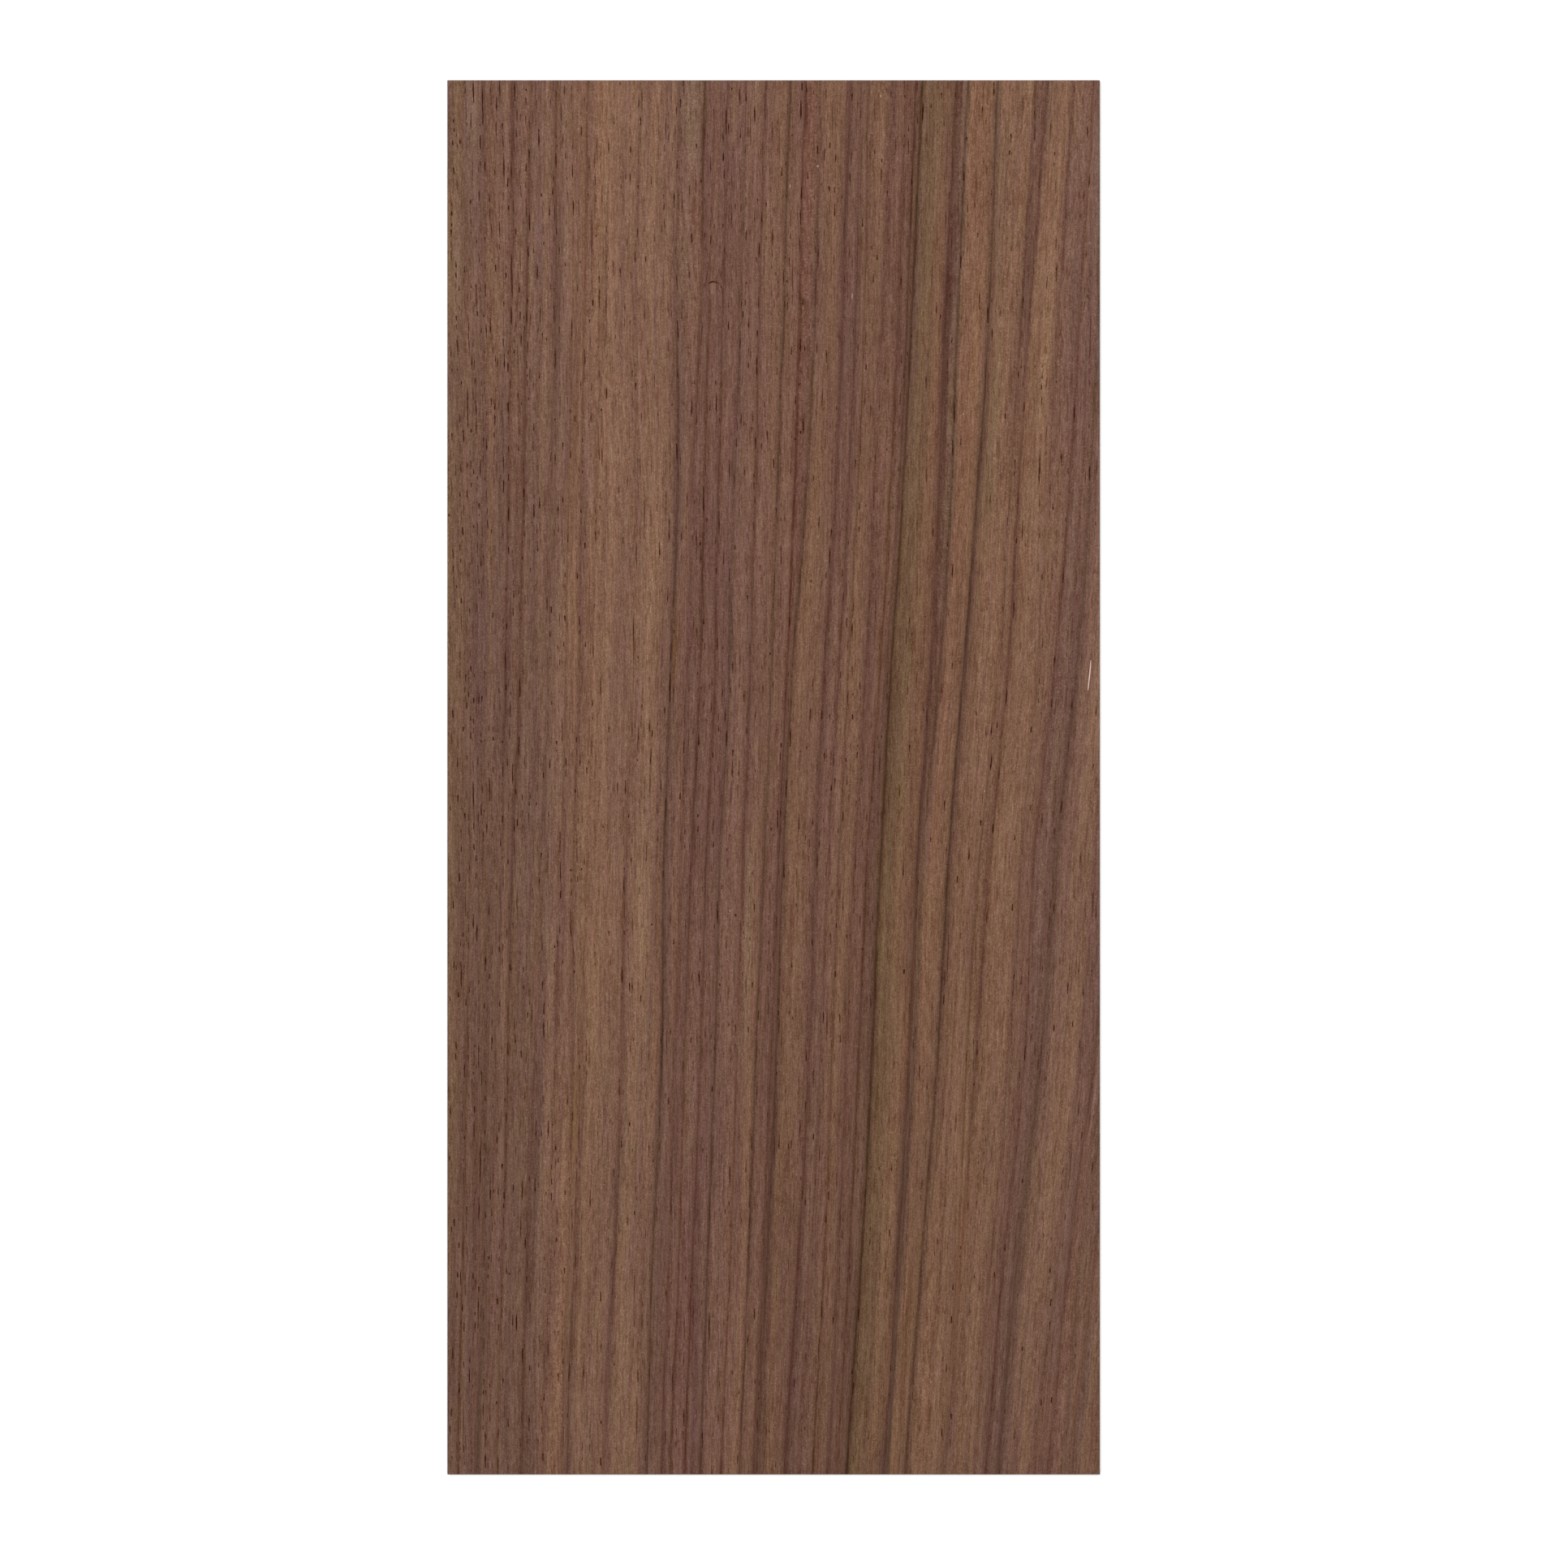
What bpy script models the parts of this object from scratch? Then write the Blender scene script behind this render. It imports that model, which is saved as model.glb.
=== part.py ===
"""A walnut veneer sheet: one quarter-cut leaf, sliced from the flitch by a knife and trimmed square.

Metres, +Z up. The sheet lies flat on its loose (glue) face. The origin is the middle of that
face, +Y runs along the grain and +X across it.
"""

import bmesh
import bpy

MM = 0.001

# The leaf as it leaves the guillotine.
SHEET_LENGTH = 300.0 * MM
SHEET_WIDTH = 140.4 * MM
SHEET_THICKNESS = 0.6 * MM

# The trimming blade presses the face-side arris over all round, and leaves the back arris sharp.
ARRIS_WIDTH = 0.08 * MM
ARRIS_STEPS = 2

# Raw heartwood, unfinished and unsanded.
WALNUT_BROWN = (0.165, 0.085, 0.056, 1.0)
RAW_WOOD_ROUGHNESS = 0.62


def clear_scene():
    for old in list(bpy.data.objects):
        bpy.data.objects.remove(old)


def raw_walnut():
    """Plain heartwood colour for the one material of the sheet."""
    wood = bpy.data.materials.new("raw_walnut")
    wood.use_nodes = True
    shader = wood.node_tree.nodes["Principled BSDF"]
    shader.inputs["Base Color"].default_value = WALNUT_BROWN
    shader.inputs["Roughness"].default_value = RAW_WOOD_ROUGHNESS
    shader.inputs["Metallic"].default_value = 0.0
    return wood


def slice_leaf(mesh):
    """Draws the leaf's section across the grain and extrudes it along the grain."""
    half_width = SHEET_WIDTH / 2
    half_length = SHEET_LENGTH / 2
    section = [
        mesh.verts.new((x, -half_length, z))
        for x, z in (
            (-half_width, 0.0),
            (half_width, 0.0),
            (half_width, SHEET_THICKNESS),
            (-half_width, SHEET_THICKNESS),
        )
    ]
    cut_end = mesh.faces.new(section)
    grown = bmesh.ops.extrude_face_region(mesh, geom=[cut_end])["geom"]
    far_end = [item for item in grown if isinstance(item, bmesh.types.BMVert)]
    bmesh.ops.translate(mesh, verts=far_end, vec=(0.0, SHEET_LENGTH, 0.0))
    bmesh.ops.recalc_face_normals(mesh, faces=mesh.faces)


def press_over_face_arris(mesh):
    """Rounds the four edges of the show face, where the guillotine's blade enters."""
    middle_height = SHEET_THICKNESS / 2
    face_edges = [
        edge for edge in mesh.edges if all(corner.co.z > middle_height for corner in edge.verts)
    ]
    bmesh.ops.bevel(
        mesh,
        geom=face_edges,
        offset=ARRIS_WIDTH,
        offset_type="OFFSET",
        segments=ARRIS_STEPS,
        profile=0.5,
        affect="EDGES",
    )


def veneer_sheet():
    mesh = bmesh.new()
    slice_leaf(mesh)
    press_over_face_arris(mesh)
    data = bpy.data.meshes.new("veneer_sheet")
    mesh.to_mesh(data)
    mesh.free()
    data.materials.append(raw_walnut())
    sheet = bpy.data.objects.new("veneer_sheet", data)
    bpy.context.scene.collection.objects.link(sheet)
    return sheet


clear_scene()
veneer_sheet()
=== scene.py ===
import math

import bpy
import numpy as np
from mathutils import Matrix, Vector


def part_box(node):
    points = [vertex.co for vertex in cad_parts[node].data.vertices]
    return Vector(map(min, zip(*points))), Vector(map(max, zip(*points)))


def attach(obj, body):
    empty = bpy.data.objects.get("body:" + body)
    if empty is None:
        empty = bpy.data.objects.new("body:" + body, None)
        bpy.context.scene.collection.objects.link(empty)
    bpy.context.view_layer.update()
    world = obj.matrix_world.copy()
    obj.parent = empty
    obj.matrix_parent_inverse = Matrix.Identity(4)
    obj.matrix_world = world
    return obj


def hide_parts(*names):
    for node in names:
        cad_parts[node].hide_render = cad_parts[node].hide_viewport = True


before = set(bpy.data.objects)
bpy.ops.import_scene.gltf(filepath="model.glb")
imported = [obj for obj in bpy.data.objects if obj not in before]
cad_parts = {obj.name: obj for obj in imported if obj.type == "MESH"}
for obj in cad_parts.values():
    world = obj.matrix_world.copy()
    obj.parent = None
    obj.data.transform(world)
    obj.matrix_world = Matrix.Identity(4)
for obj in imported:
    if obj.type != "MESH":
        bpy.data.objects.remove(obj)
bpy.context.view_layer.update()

# The veneer leaf
# One quarter-cut leaf of raw black walnut heartwood, sliced 0.6 mm thick from the flitch by a long knife
# and trimmed square on a guillotine. The knife opens the wood's vessels into fine grooves along the grain.
# Nothing is glued or fixed to it: it lies loose, show face up, on its back.
MM = 0.001
leaf_low, leaf_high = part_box("veneer_sheet")
HALF_WIDTH = (leaf_high[0] - leaf_low[0]) / 2 / MM
HALF_LENGTH = (leaf_high[1] - leaf_low[1]) / 2 / MM
THICKNESS = (leaf_high[2] - leaf_low[2]) / MM
ARRIS = 0.08
ARRIS_STEPS = 2

# The grain fans out from a point far above the leaf, and bows a little to the left at both ends.
FAN_EDGE = -73.0
FAN_OPENING = 0.00055
FAN_BOW = 0.00006
FAN_BOW_START = -72.0
FAN_BOW_SPAN = 140.0

# Heights up the leaf, from head to foot, at which each growth line's place across it is written.
STATIONS = (140, 100, 60, 20, -20, -60, -100, -140)

# The shade card: how far red stands over green, and green over blue, in each family of walnut browns.
SHADES = {
    "straw": (27.5, 20.0),
    "olive": (26.5, 21.5),
    "gold": (33.0, 19.5),
    "brass": (31.5, 21.5),
    "tan": (32.5, 17.0),
    "rose": (32.5, 14.5),
    "rust": (36.0, 20.0),
    "mauve": (31.5, 11.5),
    "fawn": (29.5, 16.0),
    "taupe": (29.0, 13.5),
    "dun": (28.0, 15.5),
    "ash": (24.0, 12.0),
}
CARD_PALEST = 104.0
CARD_STEP = 4.0

# The dark wood of the growth lines themselves.
LINE_BROWNS = {
    "charcoal": (62, 41, 28),
    "umber": (74, 43, 27),
    "oxblood": (74, 40, 30),
    "mauve": (80, 47, 39),
}

# Growth lines, left to right. Each has its place across the leaf at the eight stations, its softness
# to the left and right, how dark it is at head, upper part, lower part and foot, and its brown.
# Then comes the wood between it and the next line: the shade near it, the shade further on, and how
# many card steps deeper that wood grows towards the head and towards the foot.
GROWTH = (
    (None, None, None, None, "straw", 3.5, "fawn", 5.0, -1.5, 1.0),
    ((-65.2, -65.2, -65.2, -65.3, -65.3, -65.8, -66.4, -67.4),
     (0.7, 0.9), (0, 0, 11, 15), "umber", "taupe", 4.5, "taupe", 4.5, -1.0, 0.0),
    ((-63.0, -62.8, -62.8, -62.9, -63.1, -63.4, -64.0, -64.9),
     (0.9, 0.9), (9, 0, 5, 0), "mauve", "fawn", 5.5, "fawn", 4.0, -2.5, 3.5),
    ((-57.4, -57.3, -57.6, -57.9, -58.3, -59.2, -60.2, -61.0),
     (1.0, 1.1), (16, 14, 4, 7), "mauve", "taupe", 5.0, "taupe", 5.0, -2.5, -1.0),
    ((-53.8, -54.2, -54.5, -54.9, -56.1, -56.7, -57.3, -58.3),
     (0.9, 1.0), (12, 12, 10, 10), "umber", "taupe", 4.5, "fawn", 4.0, -1.5, 1.0),
    ((-48.7, -48.3, -48.7, -48.7, -50.0, -50.7, -51.8, -52.5),
     (0.9, 1.1), (13, 3, 5, 13), "oxblood", "taupe", 4.5, "tan", 1.0, 0.0, 2.0),
    ((-45.3, -44.7, -45.05, -45.1, -45.4, -46.1, -46.9, -47.6),
     (0.9, 0.8), (6, 10, 6, 8), "umber", "tan", 3.0, "tan", 3.5, -1.5, -0.5),
    ((-42.4, -42.4, -42.5, -42.1, -42.7, -42.1, -42.3, -43.0),
     (0.8, 0.8), (12, 8, 8, 7), "umber", "tan", 2.5, "gold", 2.5, -1.5, 2.0),
    ((-39.4, -39.5, -39.6, -39.8, -39.9, -40.4, -41.0, -41.9),
     (0.7, 0.9), (2, 1, 5, 12), "oxblood", "gold", 1.5, "tan", 2.0, -1.0, 1.0),
    ((-31.9, -31.8, -31.0, -30.8, -31.5, -31.2, -31.7, -33.1),
     (1.7, 1.4), (7, 4, 14, 10), "mauve", "gold", 1.0, "tan", 2.5, -0.5, 1.0),
    ((-24.1, -23.4, -22.3, -22.8, -23.1, -22.3, -23.1, -23.0),
     (0.9, 0.9), (8, 13, 17, 13), "charcoal", "taupe", 4.5, "rose", 4.0, -1.5, 0.5),
    ((-19.0, -18.7, -19.4, -19.4, -19.5, -19.5, -19.35, -19.7),
     (0.6, 1.0), (16, 6, 5, 10), "umber", "mauve", 5.0, "mauve", 4.5, -1.5, 0.0),
    ((-17.0, -16.9, -16.75, -16.4, -17.1, -17.35, -17.1, -17.4),
     (0.8, 0.7), (8, 16, 13, 16), "umber", "mauve", 5.5, "mauve", 4.5, -1.0, -1.0),
    ((-14.4, -14.1, -13.85, -13.45, -13.95, -13.65, -13.9, -14.1),
     (0.8, 0.8), (9, 13, 12, 18), "oxblood", "mauve", 5.5, "mauve", 4.5, -1.5, 0.5),
    ((-10.6, -10.4, -10.6, -10.3, -10.9, -10.5, -10.5, -10.4),
     (0.8, 0.8), (7, 9, 14, 14), "charcoal", "rose", 3.0, "rose", 3.0, 0.0, 1.0),
    ((-6.85, -6.6, -6.2, -5.8, -5.9, -5.6, -5.2, -5.5),
     (1.0, 0.9), (10, 12, 11, 15), "oxblood", "rose", 3.5, "tan", 3.5, -0.5, -0.5),
    ((-1.8, -1.55, -1.5, -1.3, -1.3, -1.45, -1.15, -1.1),
     (0.9, 0.7), (15, 12, 12, 15), "charcoal", "rose", 4.5, "rose", 3.5, -0.5, 1.0),
    ((1.25, 1.55, 2.0, 1.95, 1.85, 2.1, 2.3, 2.2),
     (0.8, 0.7), (15, 19, 8, 13), "oxblood", "mauve", 7.0, "taupe", 7.0, -4.0, 1.5),
    ((4.4, 4.85, 4.5, 3.0, 2.75, 3.1, 3.2, 2.9),
     (0.7, 0.8), (10, 13, 13, 14), "charcoal", "gold", 3.0, "tan", 3.5, -0.5, 1.5),
    ((10.3, 10.4, 10.65, 9.9, 9.95, 10.5, 10.4, 9.8),
     (1.2, 0.9), (15, 14, 13, 20), "mauve", "mauve", 5.0, "rose", 3.0, 0.0, 2.0),
    ((12.4, 13.1, 13.3, 13.0, 12.5, 13.2, 13.1, 12.6),
     (0.8, 0.8), (5, 13, 5, 7), "oxblood", "rose", 4.0, "tan", 2.5, 1.0, 1.5),
    ((14.0, 15.0, 15.2, 15.0, 15.0, 15.6, 16.3, 16.3),
     (0.7, 0.6), (9, 12, 9, 16), "umber", "gold", 3.0, "tan", 3.5, 0.0, 1.5),
    ((18.6, 18.6, 18.5, 18.8, 18.4, 18.9, 19.4, 19.9),
     (0.8, 1.0), (7, 12, 10, 12), "mauve", "rose", 4.5, "rose", 4.5, -0.5, 1.5),
    ((21.5, 21.9, 21.9, 21.7, 20.95, 21.5, 21.9, 22.1),
     (0.6, 0.7), (7, 15, 14, 14), "umber", "rose", 5.5, "taupe", 5.5, -0.5, 1.5),
    ((23.4, 23.7, 23.8, 23.0, 22.9, 23.3, 23.6, 23.4),
     (0.7, 0.5), (18, 10, 2, 0), "oxblood", "taupe", 6.5, "straw", 7.0, -1.5, 0.5),
    ((24.65, 24.7, 24.6, 24.1, 24.0, 24.55, 24.8, 24.3),
     (0.9, 0.8), (18, 17, 21, 20), "charcoal", "olive", 4.5, "gold", 4.0, 0.0, 1.0),
    ((31.5, 31.6, 32.2, 32.4, 32.0, 32.7, 33.1, 33.2),
     (0.9, 0.8), (12, 13, 14, 8), "umber", "taupe", 5.5, "dun", 5.0, -0.5, 3.5),
    ((32.8, 32.6, 32.8, 32.75, 32.4, 33.1, 33.4, 33.6),
     (0.9, 0.8), (8, 13, 14, 1), "mauve", "dun", 4.0, "dun", 3.5, -1.5, 5.0),
    ((33.9, 34.1, 34.7, 34.3, 33.0, 33.7, 33.9, 33.95),
     (0.7, 0.8), (16, 13, 7, 10), "charcoal", "rust", 2.0, "gold", 3.0, -0.5, 2.0),
    ((39.9, 40.6, 40.2, 39.4, 38.7, 39.1, 38.6, 38.2),
     (0.8, 0.9), (14, 16, 17, 13), "charcoal", "fawn", 6.0, "gold", 3.0, -2.0, -1.0),
    ((42.8, 42.6, 42.5, 42.4, 42.2, 42.4, 43.1, 43.2),
     (0.8, 0.7), (0, 0, 7, 4), "umber", "gold", 1.5, "gold", 2.5, -0.5, 1.0),
    ((47.4, 47.3, 47.1, 46.9, 45.4, 45.7, 46.9, 47.0),
     (0.9, 0.7), (11, 5, 13, 7), "umber", "tan", 3.0, "gold", 3.5, -0.5, 2.0),
    ((49.7, 48.8, 48.8, 48.9, 47.7, 47.7, 47.7, 47.9),
     (0.9, 0.9), (9, 14, 11, 7), "mauve", "gold", 2.5, "gold", 1.5, -1.0, 1.0),
    ((55.0, 54.8, 55.0, 55.1, 54.5, 55.0, 54.5, 54.5),
     (1.0, 1.0), (11, 6, 6, 9), "mauve", "tan", 3.0, "rose", 3.5, -1.5, 1.5),
    ((59.2, 59.1, 59.4, 58.6, 57.3, 58.6, 57.5, 57.5),
     (0.9, 1.0), (9, 11, 9, 16), "oxblood", "mauve", 4.0, "taupe", 4.0, -1.5, 1.0),
    ((60.6, 61.5, 61.8, 61.6, 60.6, 60.7, 60.0, 59.9),
     (0.7, 0.8), (0, 8, 2, 6), "oxblood", "mauve", 4.0, "taupe", 5.0, -2.0, 3.0),
    ((61.6, 62.9, 63.7, 63.4, 62.1, 62.2, 60.8, 60.4),
     (1.0, 1.1), (8, 10, 8, 8), "charcoal", "rose", 2.5, "gold", 1.5, -2.0, 1.0),
    ((69.5, 70.5, 71.5, 71.2, 70.8, 71.0, 70.3, 69.0),
     (1.1, 1.0), (4, 4, 3, 8), "mauve", "mauve", 4.0, "mauve", 4.0, 0.0, 0.5),
    ((72.5, 73.5, 74.5, 74.3, 74.1, 74.1, 72.5, 72.3),
     (0.8, 0.9), (6, 6, 10, 10), "umber", "rose", 4.0, "rose", 3.5, 0.0, 0.0),
    ((74.5, 75.5, 76.5, 76.3, 76.2, 76.0, 75.0, 75.4),
     (0.8, 0.9), (4, 4, 4, 5), "umber", "fawn", 4.0, "rose", 4.0, 0.0, 0.5),
    ((77.5, 78.5, 79.5, 79.5, 79.5, 79.3, 78.5, 77.9),
     (1.1, 1.2), (5, 5, 5, 6), "charcoal", "tan", 2.5, "tan", 4.0, 0.0, 0.5),
)
LINES = GROWTH[1:]
LINE_PLACES = np.array([line[0] for line in LINES], dtype=float)
RING = LINE_PLACES.mean(axis=1)


def line_places(along):
    """Where every growth line lies across the fan at the given heights: one row for each height."""
    heights = np.array(STATIONS[::-1], dtype=float)
    places = LINE_PLACES[:, ::-1]
    step = heights[1] - heights[0]
    spot = np.clip((np.asarray(along, dtype=float) - heights[0]) / step, -0.4, len(heights) - 0.6)
    first = np.clip(np.floor(spot).astype(int), 0, len(heights) - 2)
    part = (spot - first)[:, None]
    last = len(heights) - 1
    before = places[:, np.clip(first - 1, 0, last)].T
    here = places[:, first].T
    there = places[:, first + 1].T
    after = places[:, np.clip(first + 2, 0, last)].T
    slope_here = (there - before) / 2
    slope_there = (after - here) / 2
    return (
        (2 * part**3 - 3 * part**2 + 1) * here
        + (part**3 - 2 * part**2 + part) * slope_here
        + (-2 * part**3 + 3 * part**2) * there
        + (part**3 - part**2) * slope_there
    )


def follow(values, table_in, table_out):
    """Reads each value off its own row's table, and carries the ends of the table straight on."""
    count = table_in.shape[1]
    first = np.clip((table_in < values[:, None]).sum(axis=1) - 1, 0, count - 2)
    row = np.arange(len(values))
    low_in, high_in = table_in[row, first], table_in[row, first + 1]
    low_out, high_out = table_out[row, first], table_out[row, first + 1]
    inside = low_out + (values - low_in) * (high_out - low_out) / (high_in - low_in)
    below = values < table_in[:, 0]
    above = values > table_in[:, -1]
    inside = np.where(below, table_out[:, 0] + values - table_in[:, 0], inside)
    return np.where(above, table_out[:, -1] + values - table_in[:, -1], inside)


def across_leaf(ring, along):
    """The x, in mm, at which a growth ring crosses each height."""
    places = line_places(along)
    fan = follow(ring, np.tile(RING, (len(ring), 1)), places)
    bow = FAN_BOW * along**2 * ((fan - FAN_BOW_START) / FAN_BOW_SPAN) ** 2
    return FAN_EDGE + (fan - FAN_EDGE) * (1 + FAN_OPENING * along) - bow


def ring_at(x, along):
    """The growth ring, written as its mean place across the fan, that passes through each spot."""
    fan = FAN_EDGE + (x - FAN_EDGE) / (1 + FAN_OPENING * along)
    for _ in range(4):
        bow = FAN_BOW * along**2 * ((fan - FAN_BOW_START) / FAN_BOW_SPAN) ** 2
        fan = FAN_EDGE + (x + bow - FAN_EDGE) / (1 + FAN_OPENING * along)
    places = line_places(along)
    return follow(fan, places, np.tile(RING, (len(x), 1)))


# The blank: a block of the leaf's size with its face arris pressed over by the guillotine's blade.
bpy.ops.object.select_all(action="DESELECT")
bpy.ops.mesh.primitive_cube_add(size=1, location=(0, 0, THICKNESS / 2 * MM))
leaf = bpy.context.object
leaf.name = "veneer_leaf"
leaf.data.name = "veneer_leaf"
leaf.scale = (2 * HALF_WIDTH * MM, 2 * HALF_LENGTH * MM, THICKNESS * MM)
bpy.ops.object.transform_apply(location=True, rotation=True, scale=True)
for edge in leaf.data.edges:
    edge.select = all(leaf.data.vertices[v].co.z > THICKNESS / 2 * MM for v in edge.vertices)
for face in leaf.data.polygons:
    face.select = False
bpy.ops.object.mode_set(mode="EDIT")
bpy.ops.mesh.select_mode(type="EDGE")
bpy.ops.mesh.bevel(offset=ARRIS * MM, offset_type="OFFSET", segments=ARRIS_STEPS, profile=0.5)
bpy.ops.mesh.select_mode(type="VERT")

# Cuts along the grain at each growth line and its two shoulders, and across it at even heights.
SHOULDER = 0.55
WIDEST_COLUMN = 1.6
ROW_HEIGHT = 10.0
marks = np.sort(np.concatenate([RING, RING - SHOULDER, RING + SHOULDER]))
marks = marks[np.concatenate([[True], np.diff(marks) > 0.3])]
spans = np.concatenate([[FAN_EDGE + 1.5], marks, [86.0]])
cuts = [marks]
for start, end in zip(spans[:-1], spans[1:]):
    parts = math.ceil((end - start) / WIDEST_COLUMN)
    cuts.append(start + (end - start) * np.arange(1, parts) / parts)
cuts = np.sort(np.concatenate(cuts))
for place in cuts:
    slope = (place - FAN_EDGE) * FAN_OPENING
    bpy.ops.mesh.select_all(action="SELECT")
    bpy.ops.mesh.bisect(plane_co=(place * MM, 0, 0), plane_no=(1, -slope, 0), threshold=1e-7)
for height in np.arange(-HALF_LENGTH + ROW_HEIGHT, HALF_LENGTH - 1, ROW_HEIGHT):
    bpy.ops.mesh.select_all(action="SELECT")
    bpy.ops.mesh.bisect(plane_co=(0, height * MM, 0), plane_no=(0, 1, 0), threshold=1e-7)
bpy.ops.object.mode_set(mode="OBJECT")


def corners_of(mesh):
    """Every vertex of a mesh in mm, one row each."""
    places = np.empty(len(mesh.vertices) * 3, dtype=np.float64)
    mesh.vertices.foreach_get("co", places)
    return places.reshape(-1, 3) / MM


def move_corners(mesh, places):
    mesh.vertices.foreach_set("co", (places * MM).ravel())
    mesh.update()


# The cut columns slide onto the wandering growth lines, and the show face sinks a little along each
# line, because the knife drags the dense late wood down.
FURROW = 0.012
RIPPLE = 0.004
grid = corners_of(leaf.data)
straight = FAN_EDGE + (grid[:, 0] - FAN_EDGE) / (1 + FAN_OPENING * grid[:, 1])
nearest = cuts[np.abs(straight[:, None] - cuts[None, :]).argmin(axis=1)]
inner = HALF_WIDTH - ARRIS
on_cut = (np.abs(straight - nearest) < 0.002) & (np.abs(grid[:, 0]) < inner - 1e-4)
slid = across_leaf(nearest, grid[:, 1])
grid[:, 0] = np.where(on_cut, np.clip(slid, -inner + 0.05, inner - 0.05), grid[:, 0])
ring = ring_at(grid[:, 0], grid[:, 1])
line_index = np.abs(ring[:, None] - RING[None, :]).argmin(axis=1)
off_line = np.abs(ring - RING[line_index])
darkness = np.array([np.mean(line[2]) for line in LINES]) / 20
dip = FURROW * darkness[line_index] * np.clip(1 - off_line / SHOULDER, 0, 1)
dip += RIPPLE * (0.5 + 0.5 * np.sin(ring * 4.1 + np.sin(grid[:, 1] / 23) * 2))
show = (grid[:, 2] > THICKNESS - 1e-4) & on_cut
show &= np.abs(grid[:, 1]) < HALF_LENGTH - ARRIS - 1e-3
grid[:, 2] = np.where(show, grid[:, 2] - dip, grid[:, 2])
move_corners(leaf.data, grid)

# Vessel grooves: one pointed boat is modelled, and each groove is a copy of it that follows the grain.
# A long vessel is the same boat with more ribs, so that it can bend and pinch where its cells join.
bpy.ops.object.select_all(action="DESELECT")
BOATS = []
for ribs in (3, 5, 8):
    bpy.ops.mesh.primitive_uv_sphere_add(
        segments=6, ring_count=ribs, radius=1, rotation=(math.pi / 2, math.pi / 6, 0)
    )
    boat = bpy.context.object
    bpy.ops.object.transform_apply(location=True, rotation=True, scale=True)
    hull = corners_of(boat.data) * MM
    hull[:, 1] = np.sign(hull[:, 1]) * np.abs(hull[:, 1]) ** 0.75
    girth = np.abs(hull[:, [0, 2]]).max()
    hull[:, [0, 2]] /= girth
    BOATS.append((hull, [tuple(face.vertices) for face in boat.data.polygons]))
    bpy.data.meshes.remove(boat.data)

# Where the vessels crowd: places across the leaf, from its left edge, and how thickly they stand.
CROWD_AT = (-70, -67, -64, -62, -52, -44, -33, -24, -10, 6, 20, 27, 36, 42, 52, 60, 70)
CROWDING = (1.5, 2.2, 1.2, 1.3, 0.85, 0.75, 0.8, 1.4, 1.6, 1.6, 1.45, 1.1, 1.1, 0.75, 0.95, 0.9, 0.75)

# How deeply the knife opened them: deepest at the left edge, and shallower towards the right and foot.
DEPTH_AT = (-70, -45, -33, -10, 12, 26, 70)
DEPTH = (1.05, 0.9, 0.62, 0.68, 0.66, 0.55, 0.52)
FOOT_DEPTH = 0.8

# The fibres and vessels spiral a little against the growth lines: 0.025 mm to the right for each mm down.
SPIRAL = 0.025
VESSELS = 4800
TYPICAL_VESSEL = 1.9
VESSEL_SPREAD = 0.66
SHORTEST_VESSEL = 0.6
LONGEST_VESSEL = 12.0
JOINTED_VESSEL = 2.7
LONG_VESSEL = 5.5

# Vessels stand thickest in the early wood beside each growth line, and in loose files along the grain.
FILE_WAVES = ((0.61, 31.0, 0.3), (1.07, -47.0, 1.9), (1.73, 64.0, 4.1), (2.9, -25.0, 5.2))

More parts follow.
